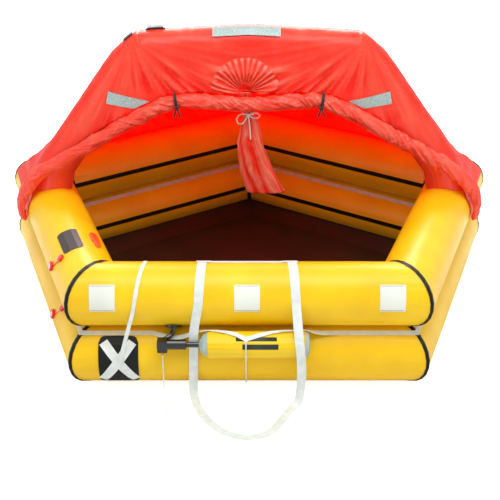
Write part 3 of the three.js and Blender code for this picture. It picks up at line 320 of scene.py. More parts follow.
yellow_pvc = coated_cloth("pvc_coated_polyester_yellow", "F3C208", "FACE10", 0.4, gloss=0.35)
saddle_pvc = coated_cloth("vinyl_yellow", "F0C60E", "F7D01C", 0.38, gloss=0.35)
arch_pvc = coated_cloth("pvc_coated_polyester_orange", "FA3A1C", "FF4E2C", 0.4)
floor_rubber = coated_cloth("rubber_coated_floor_cloth", "1B0F0A", "2A1A12", 0.55, 5)
black_tape = coated_cloth("rubber_seam_tape", "060607", "101012", 0.5, 6, gloss=0.25)
pale_rubber = coated_cloth("rubber_patch_off_white", "E4E7DC", "EEF1E6", 0.5)
sign_rubber = coated_cloth("rubber_patch_dark_brown", "241416", "33201F", 0.45)
stitch_grey = coated_cloth("polyester_thread_grey", "66736C", "7D8A83", 0.7)

# %% [markdown]
# The canopy is thin nylon with a coat on one side. Light comes through it, so the cabin glows red
# inside, and its gloss picks out each small crease. Its colour also holds painted shade and
# painted highlight: darker in the hollows of the folds and creases, paler on their tops. Some
# creases are drawn out downwards, and a small number in `streak` draws them out along that axis.

# %% Coated nylon
LONG_CREASE_MM, SHORT_CREASE_MM, THREAD_MM = 70, 120, 5


def thin_nylon(name, valley_shade, crest_highlight, inside, glow, crease_shade_weight, streak=(1, 0.5, 0.2)):
    """Cloth with painted shade and highlight along its folds, and that lets light through."""
    material, place = start_material(name)
    drawn = add_node(material, "ShaderNodeMapping", {"Vector": place, "Scale": streak}).outputs[0]
    long_crease = ridges(material, drawn, LONG_CREASE_MM, 0.9)
    crease = ridges(material, place, SHORT_CREASE_MM, 0.7)
    fold_shade = add_node(material, "ShaderNodeAttribute", attribute_name="fold_shade").outputs["Fac"]
    lines = add_node(material, "ShaderNodeMath", {0: long_crease, 1: crease}, operation="ADD")
    painted_fold_shading = add_node(material, "ShaderNodeMath", {0: lines.outputs[0], 1: crease_shade_weight, 2: fold_shade},
                      operation="MULTIPLY_ADD").outputs[0]
    folded = raised(material, crease, 7.0, 0.7, raised(material, long_crease, 5.0, 0.7))
    thread = noise(material, place, THREAD_MM, 2)
    bumped = raised(material, thread, 0.3, 0.25, folded)
    # Base colour: painted shade in the fold hollows, painted highlight on the fold tops.
    shader = add_node(material, "ShaderNodeBsdfPrincipled", {
        "Base Color": tinted(material, painted_fold_shading, valley_shade, crest_highlight, 0.1, 1.15),
        "Roughness": 0.34,
        "Specular IOR Level": 0.5,
        "Normal": bumped,
    })
    through = add_node(material, "ShaderNodeBsdfTranslucent", {
        "Color": linear(inside), "Normal": bumped,
    })
    mixed = add_node(material, "ShaderNodeMixShader", {
        0: glow, 1: shader.outputs[0], 2: through.outputs[0],
    })
    return end_material(material, mixed)


# Canopy and roll colours: the second is painted shade in the fold hollows, the third painted
# highlight on the tops.
canopy_nylon = thin_nylon("coated_nylon_orange", "FA2408", "FF9070", "FF3408",
                          glow=0.5, crease_shade_weight=0.2)
roll_nylon = thin_nylon("coated_nylon_rolled", "FA2A10", "FF9478", "FF2C10",
                        glow=0.26, crease_shade_weight=0.05, streak=(1, 1, 1))

# %% [markdown]
# Webbing is woven polyester tape. Ribs run across it where the weft turns, so it looks matt
# and slightly lined. The ribs are drawn about 12 mm apart, wider than real ones, so they show.

# %% Woven tape
RIB_SPACING = 0.011844
WAVE_RADIANS = 20  # A wave texture turns through this angle in each unit of its scaled input.


def woven_tape(name, dark, light):
    """Matt webbing with ribs across the length that its UV map gives."""
    material, place = start_material(name)
    flat = add_node(material, "ShaderNodeUVMap", uv_map="tape").outputs["UV"]
    ribs = add_node(material, "ShaderNodeTexWave", {
        "Vector": flat, "Scale": 2 * math.pi / WAVE_RADIANS / RIB_SPACING,
        "Distortion": 1.2, "Detail": 1,
    }, wave_type="BANDS", bands_direction="X").outputs["Fac"]
    shade = noise(material, place, 40, 3)
    shader = add_node(material, "ShaderNodeBsdfPrincipled", {
        "Base Color": tinted(material, shade, dark, light),
        "Roughness": 0.75,
        "Sheen Weight": 0.2,
        "Normal": raised(material, ribs, 0.5, 0.5),
    })
    return end_material(material, shader)


white_tape = woven_tape("woven_polyester_white", "D9E2DE", "E9EEEB")
black_woven = woven_tape("woven_polyester_black", "050506", "0E0E10")

# %% [markdown]
# Hard fittings are few: a painted steel bottle, a black moulded head, red soft PVC valves,
# brass and retro-reflective tape, whose glass beads make it a flat silvery grey.

# %% Hard fittings
def hard_finish(name, dark, light, roughness, metallic=0.0, lump_mm=30, bump_mm=0.1, coat=0.0):
    """Paint, plastic, metal or tape, with two close tones and a slight unevenness."""
    material, place = start_material(name)
    lumps = noise(material, place, lump_mm, 3)
    shader = add_node(material, "ShaderNodeBsdfPrincipled", {
        "Base Color": tinted(material, lumps, dark, light),
        "Roughness": roughness,
        "Metallic": metallic,
        "Coat Weight": coat,
        "Normal": raised(material, lumps, bump_mm, 0.3),
    })
    return end_material(material, shader)


bottle_paint = hard_finish("epoxy_paint_grey_green", "9DB2AE", "AFC2BD", 0.3, 0.0, 40, 0.1, 0.4)
black_abs = hard_finish("moulded_abs_black", "060708", "101214", 0.24, 0.0, 6, 0.08, 0.3)
red_pvc = hard_finish("moulded_pvc_red", "E0101E", "F02030", 0.25, 0.0, 20, 0.05, 0.4)
white_abs = hard_finish("moulded_abs_white", "E8EBE4", "F6F8F4", 0.3, 0.0, 20, 0.05, 0.3)
orange_abs = hard_finish("moulded_abs_orange", "F4501A", "FF6A2A", 0.35, 0.0, 20, 0.05, 0.2)
turned_brass = hard_finish("turned_brass", "A87A3C", "C4965A", 0.32, 1.0, 8, 0.05)
clear_cover = hard_finish("moulded_polycarbonate", "CFDAD8", "E6EEEC", 0.12, 0.0, 20, 0.03, 0.6)
bead_tape = hard_finish("glass_bead_tape_silver", "8CA3A2", "B4C5C2", 0.42, 0.25, 7, 0.15)
bar_print = hard_finish("printed_bar_black", "17231F", "22302C", 0.5)

# %% [markdown]
# The raft's main sizes are read from the frame, so the dressed pieces follow the solids. Five
# equal tubes make each pentagon, and every place on it is given by the side, the distance along
# that side, and the distance outwards.

# %% Sizes from the frame
MM = 0.001
SIDES = 5
TURN = 2 * math.pi / SIDES


def node_box(name):
    """Lowest and highest corner of one solid, in metres."""
    low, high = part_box(name)
    return np.array(low, float), np.array(high, float)


lower_low, lower_high = node_box("lower_buoyancy_tube")
upper_low, upper_high = node_box("upper_buoyancy_tube")
TUBE_RADIUS = 150 * MM
TUBE_FACETS = 24
LOWER_AXIS = (lower_low[2] + lower_high[2]) / 2
UPPER_AXIS = (upper_low[2] + upper_high[2]) / 2
APOTHEM = -upper_low[1] - TUBE_RADIUS / math.cos(math.pi / TUBE_FACETS)
HALF_SIDE = APOTHEM * math.tan(TURN / 2)
print("tube axes", round(LOWER_AXIS, 4), round(UPPER_AXIS, 4), "apothem", round(APOTHEM, 4))


def on_side(side, along, offset, z):
    """Places on one side of the pentagon, side 0 in front and then counter-clockwise."""
    c, s = math.cos(side * TURN), math.sin(side * TURN)
    x = np.asarray(along, float) + np.zeros_like(np.asarray(offset, float))
    y = -(APOTHEM + np.asarray(offset, float)) + np.zeros_like(x)
    z = np.asarray(z, float) + np.zeros_like(x)
    return np.stack([x * c - y * s, x * s + y * c, z], axis=-1)


def on_tube(side, along, axis_z, r, degrees):
    """Places at a distance from a tube's axis. Angle 0 looks outwards and 90 up."""
    turn = np.radians(degrees)
    return on_side(side, along, r * np.cos(turn), axis_z + r * np.sin(turn))


# %% [markdown]
# Air pressure makes each tube a true cylinder, cut at a slant where it meets the next one. The
# seam holds the cloth a little short there, so shallow puckers run away from every corner,
# deepest on the inner side, and fade out within a hand's breadth or two.

# %% Buoyancy tubes
AROUND_TUBE = 96
CLOTH_LIFT = 0.2 * MM
PUCKER_AT, PUCKER_REACH = 45 * MM, 55 * MM
OUTER_PUCKER, INNER_PUCKER = 2.4 * MM, 8.8 * MM


def pentagon_tube(axis_z, seed):
    """Points and faces of five mitred tubes in a ring, with stations close near the corners."""
    near = np.array([0, 9, 16, 24, 34, 46, 60, 78, 100, 130, 170]) * MM
    middle = np.linspace(near[-1], 2 * HALF_SIDE - near[-1], 16)[1:-1]
    stations = np.concatenate([near, middle, 2 * HALF_SIDE - near[::-1]])
    turn = np.linspace(0, 2 * math.pi, AROUND_TUBE, endpoint=False)
    inner = 0.5 - 0.5 * np.cos(turn)
    depth = OUTER_PUCKER + (INNER_PUCKER - OUTER_PUCKER) * inner
    rings = []
    for side in range(SIDES):
        for place in stations[:-1]:
            from_corner = min(place, 2 * HALF_SIDE - place)
            fade = math.exp(-((from_corner - PUCKER_AT) / PUCKER_REACH) ** 2)
            pucker = soft_noise(turn * 9, np.full_like(turn, side * 7.0 + place * 3), seed)
            r = TUBE_RADIUS + CLOTH_LIFT + fade * depth * np.minimum(pucker, 0)
            offset = r * np.cos(turn)
            along = (place / HALF_SIDE - 1) * (HALF_SIDE + offset * math.tan(TURN / 2))
            rings.append(on_side(side, along, offset, axis_z + r * np.sin(turn)))
    return tube_mesh(np.array(rings), closed=True)


for level, axis_z, seed in (("lower", LOWER_AXIS, 3), ("upper", UPPER_AXIS, 11)):
    points, faces = pentagon_tube(axis_z, seed)
    tube = mesh_piece(f"{level}_tube_cloth", points, faces, yellow_pvc,
                      stands_for=[f"{level}_buoyancy_tube"])
    print(level, "tube", len(tube.data.polygons), "faces")

# %% [markdown]
# Flat and hard pieces keep their solid, because tape, patches, webbing and fittings are simple
# bodies. They get their material, and a small bevel where the real edge is rounded.

# %% Finishes of the kept solids
SMOOTH_BELOW, BEVEL_ABOVE = math.radians(38), math.radians(40)
finishes = {
    "arch_tube": (arch_pvc, 0),
    "floor": (floor_rubber, 0),
    "cylinder_sleeve": (saddle_pvc, 0.5),
    "canopy_reflector_left": (bead_tape, 0),
    "canopy_reflector_right": (bead_tape, 0),
    "canopy_reflector_top": (bead_tape, 0),
    "light_base": (black_abs, 1.5),
    "light_lens": (clear_cover, 2),
    "canopy_tab": (black_woven, 0),
    "sign_patch": (sign_rubber, 0.4),
    "tow_patch": (black_tape, 0.4),
    "safety_knife": (orange_abs, 2),
    "gas_cylinder": (bottle_paint, 2),
    "operating_head": (black_abs, 1.5),
    "firing_pin": (turned_brass, 0.6),
    "inlet_valve": (black_abs, 1),
    "inflation_hose": (black_abs, 0),
    "firing_cord": (white_tape, 0),
}
for level in ("upper", "lower"):
    finishes[f"{level}_seam_tape"] = (black_tape, 0)
    finishes[f"{level}_valve_body"] = (red_pvc, 1)
    finishes[f"{level}_valve_cap"] = (red_pvc, 1)
    finishes[f"{level}_valve_poppet"] = (white_abs, 0.6)
    for corner in ("front_right", "right", "back", "left", "front_left"):
        finishes[f"{level}_joint_tape_{corner}"] = (black_tape, 0)
for name in ("inner_lifeline", "outer_lifeline", "lifeline_downhaul", "boarding_ladder",
             "boarding_ladder_anchor", "tow_patch_webbing", "tow_line", "sleeve_drawcord"):
    finishes[name] = (white_tape, 0)
for name in ("curtain_tie_left", "curtain_tie_right"):
    finishes[name] = (black_woven, 0)

for name, (material, bevel_mm) in finishes.items():
    piece = bpy.data.objects[name]
    piece.data.materials.clear()
    piece.data.materials.append(material)
    piece.data.polygons.foreach_set("use_smooth", [True] * len(piece.data.polygons))
    piece.data.set_sharp_from_angle(angle=SMOOTH_BELOW)
    if bevel_mm:
        bevel = piece.modifiers.new("edge", "BEVEL")
        bevel.width = bevel_mm * MM
        bevel.segments = 2
        bevel.limit_method = "ANGLE"
        bevel.angle_limit = BEVEL_ABOVE
print("finished", len(finishes), "kept solids")

# %% [markdown]
# The canopy is cut from flat nylon and drawn over the arch, so it hangs in long folds from the
# two shoulders. Its solid gives the main shape. Here that shape is halved three times over and
# smoothed, creased where it hangs free, and pushed back off the tubes it lies on. Beside the
# patches and fittings that are fixed to it, it stays as the solid has it.

# %% Canopy
ARCH_Y = 18 * MM
ARCH_FOOT = UPPER_AXIS / MM + 50
ARCH_CORNERS = [np.array([x, 0, z]) * MM + (0, ARCH_Y, 0) for x, z in (
    (-1061, ARCH_FOOT), (-1035, 707), (-640, 1265), (-545, 1345), (0, 1375),
    (545, 1345), (640, 1265), (1035, 707), (1061, ARCH_FOOT),
)]
ARCH_LINES = list(zip(ARCH_CORNERS[:-1], ARCH_CORNERS[1:]))
UPPER_LINES = [on_side(side, [-HALF_SIDE, HALF_SIDE], 0.0, UPPER_AXIS) for side in range(SIDES)]


def nearest_on(lines, points):
    """Nearest places on some straight lines, and the distances from them."""
    best = np.full(len(points), np.inf)
    place = np.zeros((len(points), 3))
    for a, b in lines:
        part = np.clip((points - a) @ (b - a) / ((b - a) @ (b - a)), 0, 1)
        near = a + part[:, None] * (b - a)
        reach = np.linalg.norm(points - near, axis=1)
        place[reach < best] = near[reach < best]
        best = np.minimum(best, reach)
    return place, best


def push_off(points, lines, clear):
    """Moves the points that are too near to some lines out to a clearance."""
    place, reach = nearest_on(lines, points)
    short = reach < clear
    moved = points.copy()
    moved[short] = place[short] + unit(points[short] - place[short]) * clear
    return moved


def fine_copy(node, levels):
    """Points, faces and normals of a solid, subdivided and smoothed."""
    source = bpy.data.objects[node]
    mesh = source.data.copy()
    holder = bpy.data.objects.new("fine", mesh)
    holder.matrix_world = source.matrix_world
    bpy.context.scene.collection.objects.link(holder)
    builder = bmesh.new()
    builder.from_mesh(mesh)
    bmesh.ops.remove_doubles(builder, verts=builder.verts, dist=1e-5)
    bmesh.ops.join_triangles(builder, faces=builder.faces, angle_face_threshold=math.radians(40),
                             angle_shape_threshold=math.radians(60), cmp_seam=False)
    builder.to_mesh(mesh)
    builder.free()
    smooth = holder.modifiers.new("fine", "SUBSURF")
    smooth.levels = levels
    bpy.context.view_layer.update()
    fine = holder.evaluated_get(bpy.context.evaluated_depsgraph_get()).to_mesh()
    count = len(fine.vertices)
    points, normals = np.empty(count * 3), np.empty(count * 3)
    fine.vertices.foreach_get("co", points)
    fine.vertices.foreach_get("normal", normals)
    faces = [tuple(p.vertices) for p in fine.polygons]
    matrix = np.array(holder.matrix_world)
    bpy.data.objects.remove(holder)
    points = points.reshape(-1, 3) @ matrix[:3, :3].T + matrix[:3, 3]
    return points, faces, unit(normals.reshape(-1, 3) @ matrix[:3, :3].T)


CANOPY_FITTINGS = ("canopy_reflector_left", "canopy_reflector_right", "canopy_reflector_top",
                   "light_base", "canopy_tab")
SHOULDER_X, SHOULDER_Z, FALL_FROM = 0.6, 1.3, 1.42
ARCH_HOLDS, ARCH_FADE = 104 * MM, 60 * MM
TUBE_HOLDS, TUBE_FADE = 158 * MM, 70 * MM
FITTING_HOLDS, FITTING_FADE = 30 * MM, 50 * MM
LONG_FOLD, FINE_FOLD, SWELL, RIPPLE = 30 * MM, 12 * MM, 4 * MM, 1.2 * MM
ARCH_CLEAR, TUBE_CLEAR = 98 * MM, 152.5 * MM
FOLD_MEAN = 0.45


def distance_to_fittings(points):
    """Distance from each point to the nearest corner of a piece that is fixed to the canopy."""
    fittings = [bpy.data.objects[name] for name in CANOPY_FITTINGS]
    spots = [node.matrix_world @ vertex.co for node in fittings for vertex in node.data.vertices]
    tree = KDTree(len(spots))
    for index, spot in enumerate(spots):
        tree.insert(spot, index)
    tree.balance()
    return np.array([tree.find(Vector(point))[2] for point in points])


def dress_canopy():
    """Points and faces of the folded canopy, and its painted shade factor from the folds at each
    point.
    """
    points, faces, normals = fine_copy("canopy", 3)
    arch_place, from_arch = nearest_on(ARCH_LINES, points)
    from_tube = nearest_on(UPPER_LINES, points)[1]
    off_arch = np.clip((from_arch - ARCH_HOLDS) / ARCH_FADE, 0, 1)
    off_tube = np.clip((from_tube - TUBE_HOLDS) / TUBE_FADE, 0, 1)
    off_fitting = np.clip((distance_to_fittings(points) - FITTING_HOLDS) / FITTING_FADE, 0, 1)
    free = off_arch * off_tube * off_fitting

    x, y, z = points.T
    shoulder = np.where(x < 0, -SHOULDER_X, SHOULDER_X)
    away_x, away_y = x - shoulder, y - ARCH_Y
    bearing = np.arctan2(away_x, FALL_FROM - z) * np.sign(shoulder)
    spread = np.where(away_y > 0, 3.0, 0) + 0.9 * away_y
    far = np.sqrt(away_x ** 2 + away_y ** 2 + (z - SHOULDER_Z) ** 2)
    long_fold = creases(bearing * 6 + spread, far * 1.3, 21, 2) - FOLD_MEAN
    fine_fold = creases(bearing * 17 + spread * 2, far * 3, 31, 3) - FOLD_MEAN
    swell = soft_noise(x * 16, (y + z) * 16, 41)
    lift = free * (LONG_FOLD * long_fold + FINE_FOLD * fine_fold + SWELL * swell)
    lift = lift + (1 - free) * off_fitting * RIPPLE * soft_noise(x * 30, z * 30, 51)

    outward = np.where((normals * (points - arch_place)).sum(1) > 0, 1.0, -1.0)
    points = points + normals * (lift * outward)[:, None]
    points = push_off(points, ARCH_LINES, ARCH_CLEAR)
    points = push_off(points, UPPER_LINES, TUBE_CLEAR)
    # Painted shade and highlight: this factor darkens the hollows of the folds and lightens their
    # tops.
    height = 2.4 * (0.55 * long_fold + 0.45 * fine_fold) * (0.3 + 0.7 * free)
    return points, faces, FOLD_MEAN + height


points, faces, fold_shade = dress_canopy()
canopy = mesh_piece("canopy_cloth", points, faces, canopy_nylon,
                    stands_for=["canopy"], fold_shade=fold_shade)
print("canopy", len(canopy.data.polygons), "faces")

# %% [markdown]
# The entrance curtain is rolled up and tied under the beam, and its ends hang down outside the
# tubes. Rolled cloth takes slanting gathers that cross one another, sharp on their crests,
# because each layer is a little longer than the one beneath it.

# %% Rolled entrance curtain
ROLL_RADIUS = 40 * MM
RINGS_IN_ROLL, AROUND_ROLL = 760, 56
TIE_X, TIE_REACH = 375 * MM, 22 * MM


def beside_tube(y, clear, degrees):
    """A place round the outside of the left tube, at a clearance and an angle about its axis."""
    reach = TUBE_RADIUS + clear * MM
    turn = math.radians(degrees)
    axis_x = HALF_SIDE + (y * MM + APOTHEM) * math.tan(math.pi / 2 - TURN)
    return [-(axis_x + reach * math.cos(turn)), y * MM, UPPER_AXIS + reach * math.sin(turn)]


roll_left = [
    beside_tube(-36, 31.5, -16.6), beside_tube(-46, 42.5, 3), beside_tube(-60, 53.9, 25.6),
    beside_tube(-82, 76.8, 48.6), beside_tube(-108, 108.9, 66.9), beside_tube(-126, 148, 83.8),
] + [[x * MM, y * MM, z * MM] for x, y, z in (
    (-950, -134, 808), (-830, -134, 876), (-725, -134, 940), (-595, -134, 1012),
    (-505, -134, 1062), (-375, -132, 1110), (-210, -134, 1108), (-95, -138, 1102),
)]
roll_middle = [-21 * MM, -150 * MM, 1100 * MM]
roll_path = curve_through(
    roll_left + [roll_middle] + [[-x, y, z] for x, y, z in roll_left[:-1][::-1]], RINGS_IN_ROLL)


def roll_rings():
    """Rings of the gathered roll, thin at its ends and drawn in by the two ties."""
    steps = np.linalg.norm(np.diff(roll_path, axis=0), axis=1)
    run = np.concatenate([[0], np.cumsum(steps)])[:, None]
    from_end = np.minimum(run, run[-1] - run)
    turn = np.linspace(0, 2 * math.pi, AROUND_ROLL, endpoint=False)[None, :]
    pinch = 1 - 0.2 * np.exp(-((np.abs(roll_path[:, :1]) - TIE_X) / TIE_REACH) ** 2)
    radius = ROLL_RADIUS * np.minimum(1, 0.38 + from_end / 0.42) * pinch
    slant = 14 * run + 1.6 * soft_noise(run * 6, 0 * run, 57)
    first = creases(8 * run + np.cos(turn + slant) * 1.3, 3 + 1.3 * np.sin(turn + slant), 61, 2)
    second = creases(11 * run + np.cos(turn - slant) * 1.1, 9 + 1.1 * np.sin(turn - slant), 71, 3)
    fine = creases(34 * run + np.cos(turn) * 2, 5 + 2 * np.sin(turn), 81, 2)
    shape = 0.95 + 0.4 * (first - 0.45) + 0.2 * (second - 0.45) + 0.08 * (fine - 0.4)
    end = np.sqrt(np.clip(from_end / 0.02, 0.02, 1))
    r = radius * np.clip(shape, 0.66, 1.12) * end
    direction = unit(np.gradient(roll_path, axis=0))
    back = unit(np.array([[0, 1.0, 0]]) - direction * direction[:, 1:2])
    outward = np.cross(direction, back)
    rings = (roll_path[:, None] + outward[:, None] * (r * np.cos(turn))[..., None]
             + back[:, None] * (r * np.sin(turn))[..., None])
    # The second value is painted shade and highlight: darker where the gathers sink in, paler
    # where they stand out.
    return rings, 0.42 + 1.1 * (shape - 0.9)


rings, fold_shade = roll_rings()
points, faces = tube_mesh(rings)
roll = mesh_piece("rolled_entrance_curtain", points, faces, roll_nylon,
                  stands_for=["entrance_curtain_roll"], fold_shade=fold_shade)
print("roll", round(float(np.linalg.norm(np.diff(roll_path, axis=0), axis=1).sum()), 3), "m long")

# %% [markdown]
# The lookout sleeve is a cloth tube sewn into the canopy. Its outer end is spread as a fan of
# narrow pleats above the roll. The neck runs behind the roll, is tied with a white bow, and
# the rest hangs in the entrance as a slack pouch with long folds.

# %% Lookout sleeve
FAN_CENTRE = np.array([-21, 1146]) * MM
FAN_RADIUS = 178 * MM
FAN_PLEATS = 15
FAN_FROM, FAN_SWEEP = 171, 162
PLEAT_DEPTH, RIM_DEPTH, FAN_LIFT = 13 * MM, 6 * MM, 1.5 * MM
CLOTH = 1.6 * MM
canopy_tree = BVHTree.FromPolygons([tuple(vertex.co) for vertex in canopy.data.vertices],
                                   [tuple(face.vertices) for face in canopy.data.polygons])


def cloth_front(x, z):
    """Distance y of the canopy's front face, as seen along the y axis."""
    hit = canopy_tree.ray_cast(Vector((x, -1.0, z)), Vector((0, 1, 0)))[0]
    return hit.y if hit else -130 * MM


def fan_grid():
    """Pleats that run out from the fan's centre and sink into the canopy at the rim."""
    part = np.linspace(0, 1, FAN_PLEATS * 14 + 1)
    reach = np.concatenate([np.linspace(0.2, 0.94, 22), [0.965, 0.985, 1.0, 1.02, 1.05]])
    turn = np.radians(FAN_FROM - FAN_SWEEP * part)
    wave = part * FAN_PLEATS * 2 * math.pi + 0.5 * np.sin(part * 23)
    ridge = 1 - np.abs(np.sin(wave / 2)) ** 0.7
    grid, fold_shade = [], []
    for r in reach:
        wobble = 0.02 * soft_noise(part * 9, np.full_like(part, r * 3), 91)
        x = FAN_CENTRE[0] + FAN_RADIUS * r * np.cos(turn + wobble)
        z = FAN_CENTRE[1] + FAN_RADIUS * r * np.sin(turn + wobble)
        rim = math.exp(-((min(r, 1) - 1) / 0.06) ** 2)
        hidden = RIM_DEPTH * max(0, r - 1) / 0.05
        depth = PLEAT_DEPTH * min(1, r / 0.5) * (1 - 0.97 * rim)
        tuck = 3 * creases(part * 30, np.full_like(part, r * 6), 95, 2) * MM * (1 - rim)
        front = np.array([cloth_front(float(a), float(b)) for a, b in zip(x, z)])
        y = front - FAN_LIFT - depth * ridge - tuck + hidden
        grid.append(np.stack([x, y, z], axis=1))
        # Painted shade and highlight: dark in the pleat hollows, light on the pleat tops.
        fold_shade.append(ridge ** 0.6 * (0.25 + 0.75 * min(1, r / 0.5)))
    return np.array(grid), np.array(fold_shade)


def pouch_rings():
    """Rings from the neck down. Each row has its middle, width and depth in mm, and its pleats."""
    shapes = np.array([
        (-21, -122, 1154, 60, 14, 0.0), (-21, -114, 1136, 56, 11, 0.0),
        (-21, -93, 1098, 56, 11, 0.0), (-10, -94, 1060, 54, 14, 0.05),
        (-4, -97, 1032, 48, 17, 0.08), (-1, -95, 1010, 62, 26, 0.16),
        (2, -92, 985, 80, 36, 0.2), (5, -88, 873, 128, 50, 0.17),
        (37, -80, 718, 172, 56, 0.13), (92, -74, 584, 198, 52, 0.09),
    ])
    shapes[:, :5] *= MM
    down = np.linspace(0, 1, 150)
    run = np.linspace(0, 1, len(shapes))
    x, y, z, width, depth, pleat = (np.interp(down, run, shapes[:, k])[:, None] for k in range(6))
    turn = np.linspace(0, 2 * math.pi, 180, endpoint=False)[None, :]
    drift = 0.5 * soft_noise(np.cos(turn) * 1.5 + z * 3, np.sin(turn) * 1.5, 101)
    wave = np.abs(np.sin(turn * 3 + 3.4 * drift + z * 1.1))
    crumple = creases(np.cos(turn) * 3 + 4, np.sin(turn) * 3 + z * 9, 111, 3) - 0.45
    folds = 0.8 * (wave ** 0.8 - 0.6) + 0.9 * crumple
    scale = 1 + pleat * folds
    rings = np.stack([
        x + width / 2 * scale * np.cos(turn),
        y + depth / 2 * (1 + 2.6 * pleat * folds) * np.sin(turn),
        z + 0 * turn,
    ], axis=-1)
    # The second value is painted shade and highlight: darker in the fold hollows, paler on the
    # tops.
    return rings, 0.5 + 1.3 * folds


fan, fan_fold_shade = fan_grid()
pouch, pouch_fold_shade = pouch_rings()
points, faces = join_shells(sheet_mesh(fan, CLOTH), tube_mesh(pouch))
both_sides = np.concatenate([fan_fold_shade, fan_fold_shade[:, ::-1]], axis=1)
fold_shade = np.concatenate([both_sides.ravel(), pouch_fold_shade.ravel()])
sleeve = mesh_piece("pleated_lookout_sleeve", points, faces, roll_nylon,
                    stands_for=["lookout_sleeve"], fold_shade=fold_shade)
print("sleeve", len(sleeve.data.polygons), "faces")

# %% [markdown]
# Loose webbing bends as a ribbon. Each ribbon follows stops that say where it is and which way
# its face looks, with a smooth curve through them.

# %% Ribbons
def ribbon(name, stops, width, thickness, count, material, node):
    """A flat tape through stops of (place, way its face looks). Returns it with its centreline."""
    places = np.array([place for place, _ in stops], float)
    looks = np.array([look for _, look in stops], float)
    path = curve_through(places, count)
    nearest = [int(np.argmin(np.linalg.norm(path - place, axis=1))) for place in places]
    steps = np.arange(count)
    face = unit(np.stack([np.interp(steps, nearest, looks[:, k]) for k in range(3)], axis=1))
    half, thick = width / 2, thickness / 2
    section = [(-half, -thick), (-half * 0.4, -thick), (half * 0.4, -thick), (half, -thick),
               (half, thick), (half * 0.4, thick), (-half * 0.4, thick), (-half, thick)]
    rings = sweep(path, section, face)
    points, faces = tube_mesh(rings)
    tape = mesh_piece(name, points, faces, material, stands_for=[node])
    run = np.concatenate([[0], np.cumsum(np.linalg.norm(np.diff(path, axis=0), axis=1))])
    flat = tape.data.uv_layers.new(name="tape")
    corners = np.array([loop.vertex_index for loop in tape.data.loops])
    sideways = np.array([x for x, _ in section])
    values = np.stack([run[corners // len(section)], sideways[corners % len(section)]], axis=1)
    flat.data.foreach_set("uv", values.ravel())
    tape.data.set_sharp_from_angle(angle=math.radians(50))
    return tape, path, float(run[-1])


# %% [markdown]
# The boarding ladder is one loop of wide webbing, so a person in the water has a step. It is
# sewn down inside the front tube, goes over it, and its bight lies on the ground in front.

# %% Boarding ladder
WEBBING = 1.6 * MM
WEBBING_FLAT = TUBE_RADIUS + 0.9 * MM + WEBBING / 2
LEG_TOP = 108


def ladder_leg(top_x, side_x):
    """Stops over the front tube, from its inner side to its outer one."""
    stops = []
    for degrees in (110, 95, 80, 65, 50, 35, 20, 8):
        x = (side_x + (top_x - side_x) * degrees / LEG_TOP) * MM
        turn = math.radians(degrees)
        stops.append((on_tube(0, x, UPPER_AXIS, WEBBING_FLAT, degrees),
                      (0, -math.cos(turn), math.sin(turn))))
    return stops


forward, upward, leaning = (0, -1, 0), (0, 0, 1), (0, -0.7, 0.7)
ladder_stops = ladder_leg(-216, -234) + [
    (np.array(place) * MM, look) for place, look in (
        ((-256, -1165, 320), forward), ((-258, -1165, 230), forward), ((-262, -1167, 70), forward),
        ((-262, -1176, 18), leaning), ((-258, -1200, 4.8), upward), ((-232, -1300, 1.8), upward),
        ((-176, -1420, 1.8), upward), ((-100, -1502, 1.8), upward), ((0, -1537, 1.8), upward),
        ((88, -1500, 1.8), upward), ((146, -1405, 1.8), upward), ((190, -1316, 4.8), upward),
        ((228, -1270, 20), leaning), ((240, -1252, 80), forward), ((243, -1250, 180), forward),
        ((236, -1251, 276), forward), ((230, -1238, 324), (0, -0.87, 0.49)),
    )
] + ladder_leg(199, 218)[::-1]
ladder, ladder_path, ladder_length = ribbon(
    "boarding_ladder_webbing", ladder_stops, 42 * MM, WEBBING, 420, white_tape,
    "boarding_ladder")
print("ladder webbing", round(ladder_length, 3), "m")

# %% [markdown]
# A thin braided cord leaves the brass pin of the inflation head, drops to the ground and runs
# forward along it to a bare end. Pulling it draws the pin.

# %% Firing cord
firing_route = [np.array(place) * MM for place in (
    (-401, -1183.1, 221.7), (-402, -1184.1, 150), (-400, -1189.1, 60), (-397, -1205.1, 14),
    (-392, -1240.1, 3.5), (-384, -1310.1, 3), (-375, -1388.1, 3),
)]
firing_path = curve_through(firing_route, 161)
points, faces = tube_mesh(no_twist_sweep(firing_path, 2.5 * MM, 16))
firing_cord = mesh_piece("firing_cord_braid", points, faces, white_tape, "pin",
                         ["firing_cord"])

# %% [markdown]
# Small things finish the front. The pale rubber patches have a line of grey stitches along
# their top and bottom. Two dark bars lie on the bottle's yellow cloth.

# %% Stitches and bars
PATCH_LIFT, PATCH_THICKNESS = 0.4 * MM, 2 * MM
PATCH_FROM, PATCH_TO = -6, 42
STITCH, STITCH_STEP, STITCH_RISE = 7 * MM, 9 * MM, 0.5 * MM
STITCH_TURN = 0.9


def tube_strip(x_low, x_high, axis_z, lift, deg_low, deg_high, thickness):
    """A thin strip on the front tube, as a closed shell."""
    turns = np.linspace(deg_low, deg_high, 3 + int(abs(deg_high - deg_low) / 3))
    inner, outer = TUBE_RADIUS + lift, TUBE_RADIUS + lift + thickness
    low = [on_tube(0, x, axis_z, inner, turns) for x in (x_low, x_high)]
    high = [on_tube(0, x, axis_z, outer, turns) for x in (x_high, x_low)]
    return tube_mesh(np.stack(low + high, axis=1))


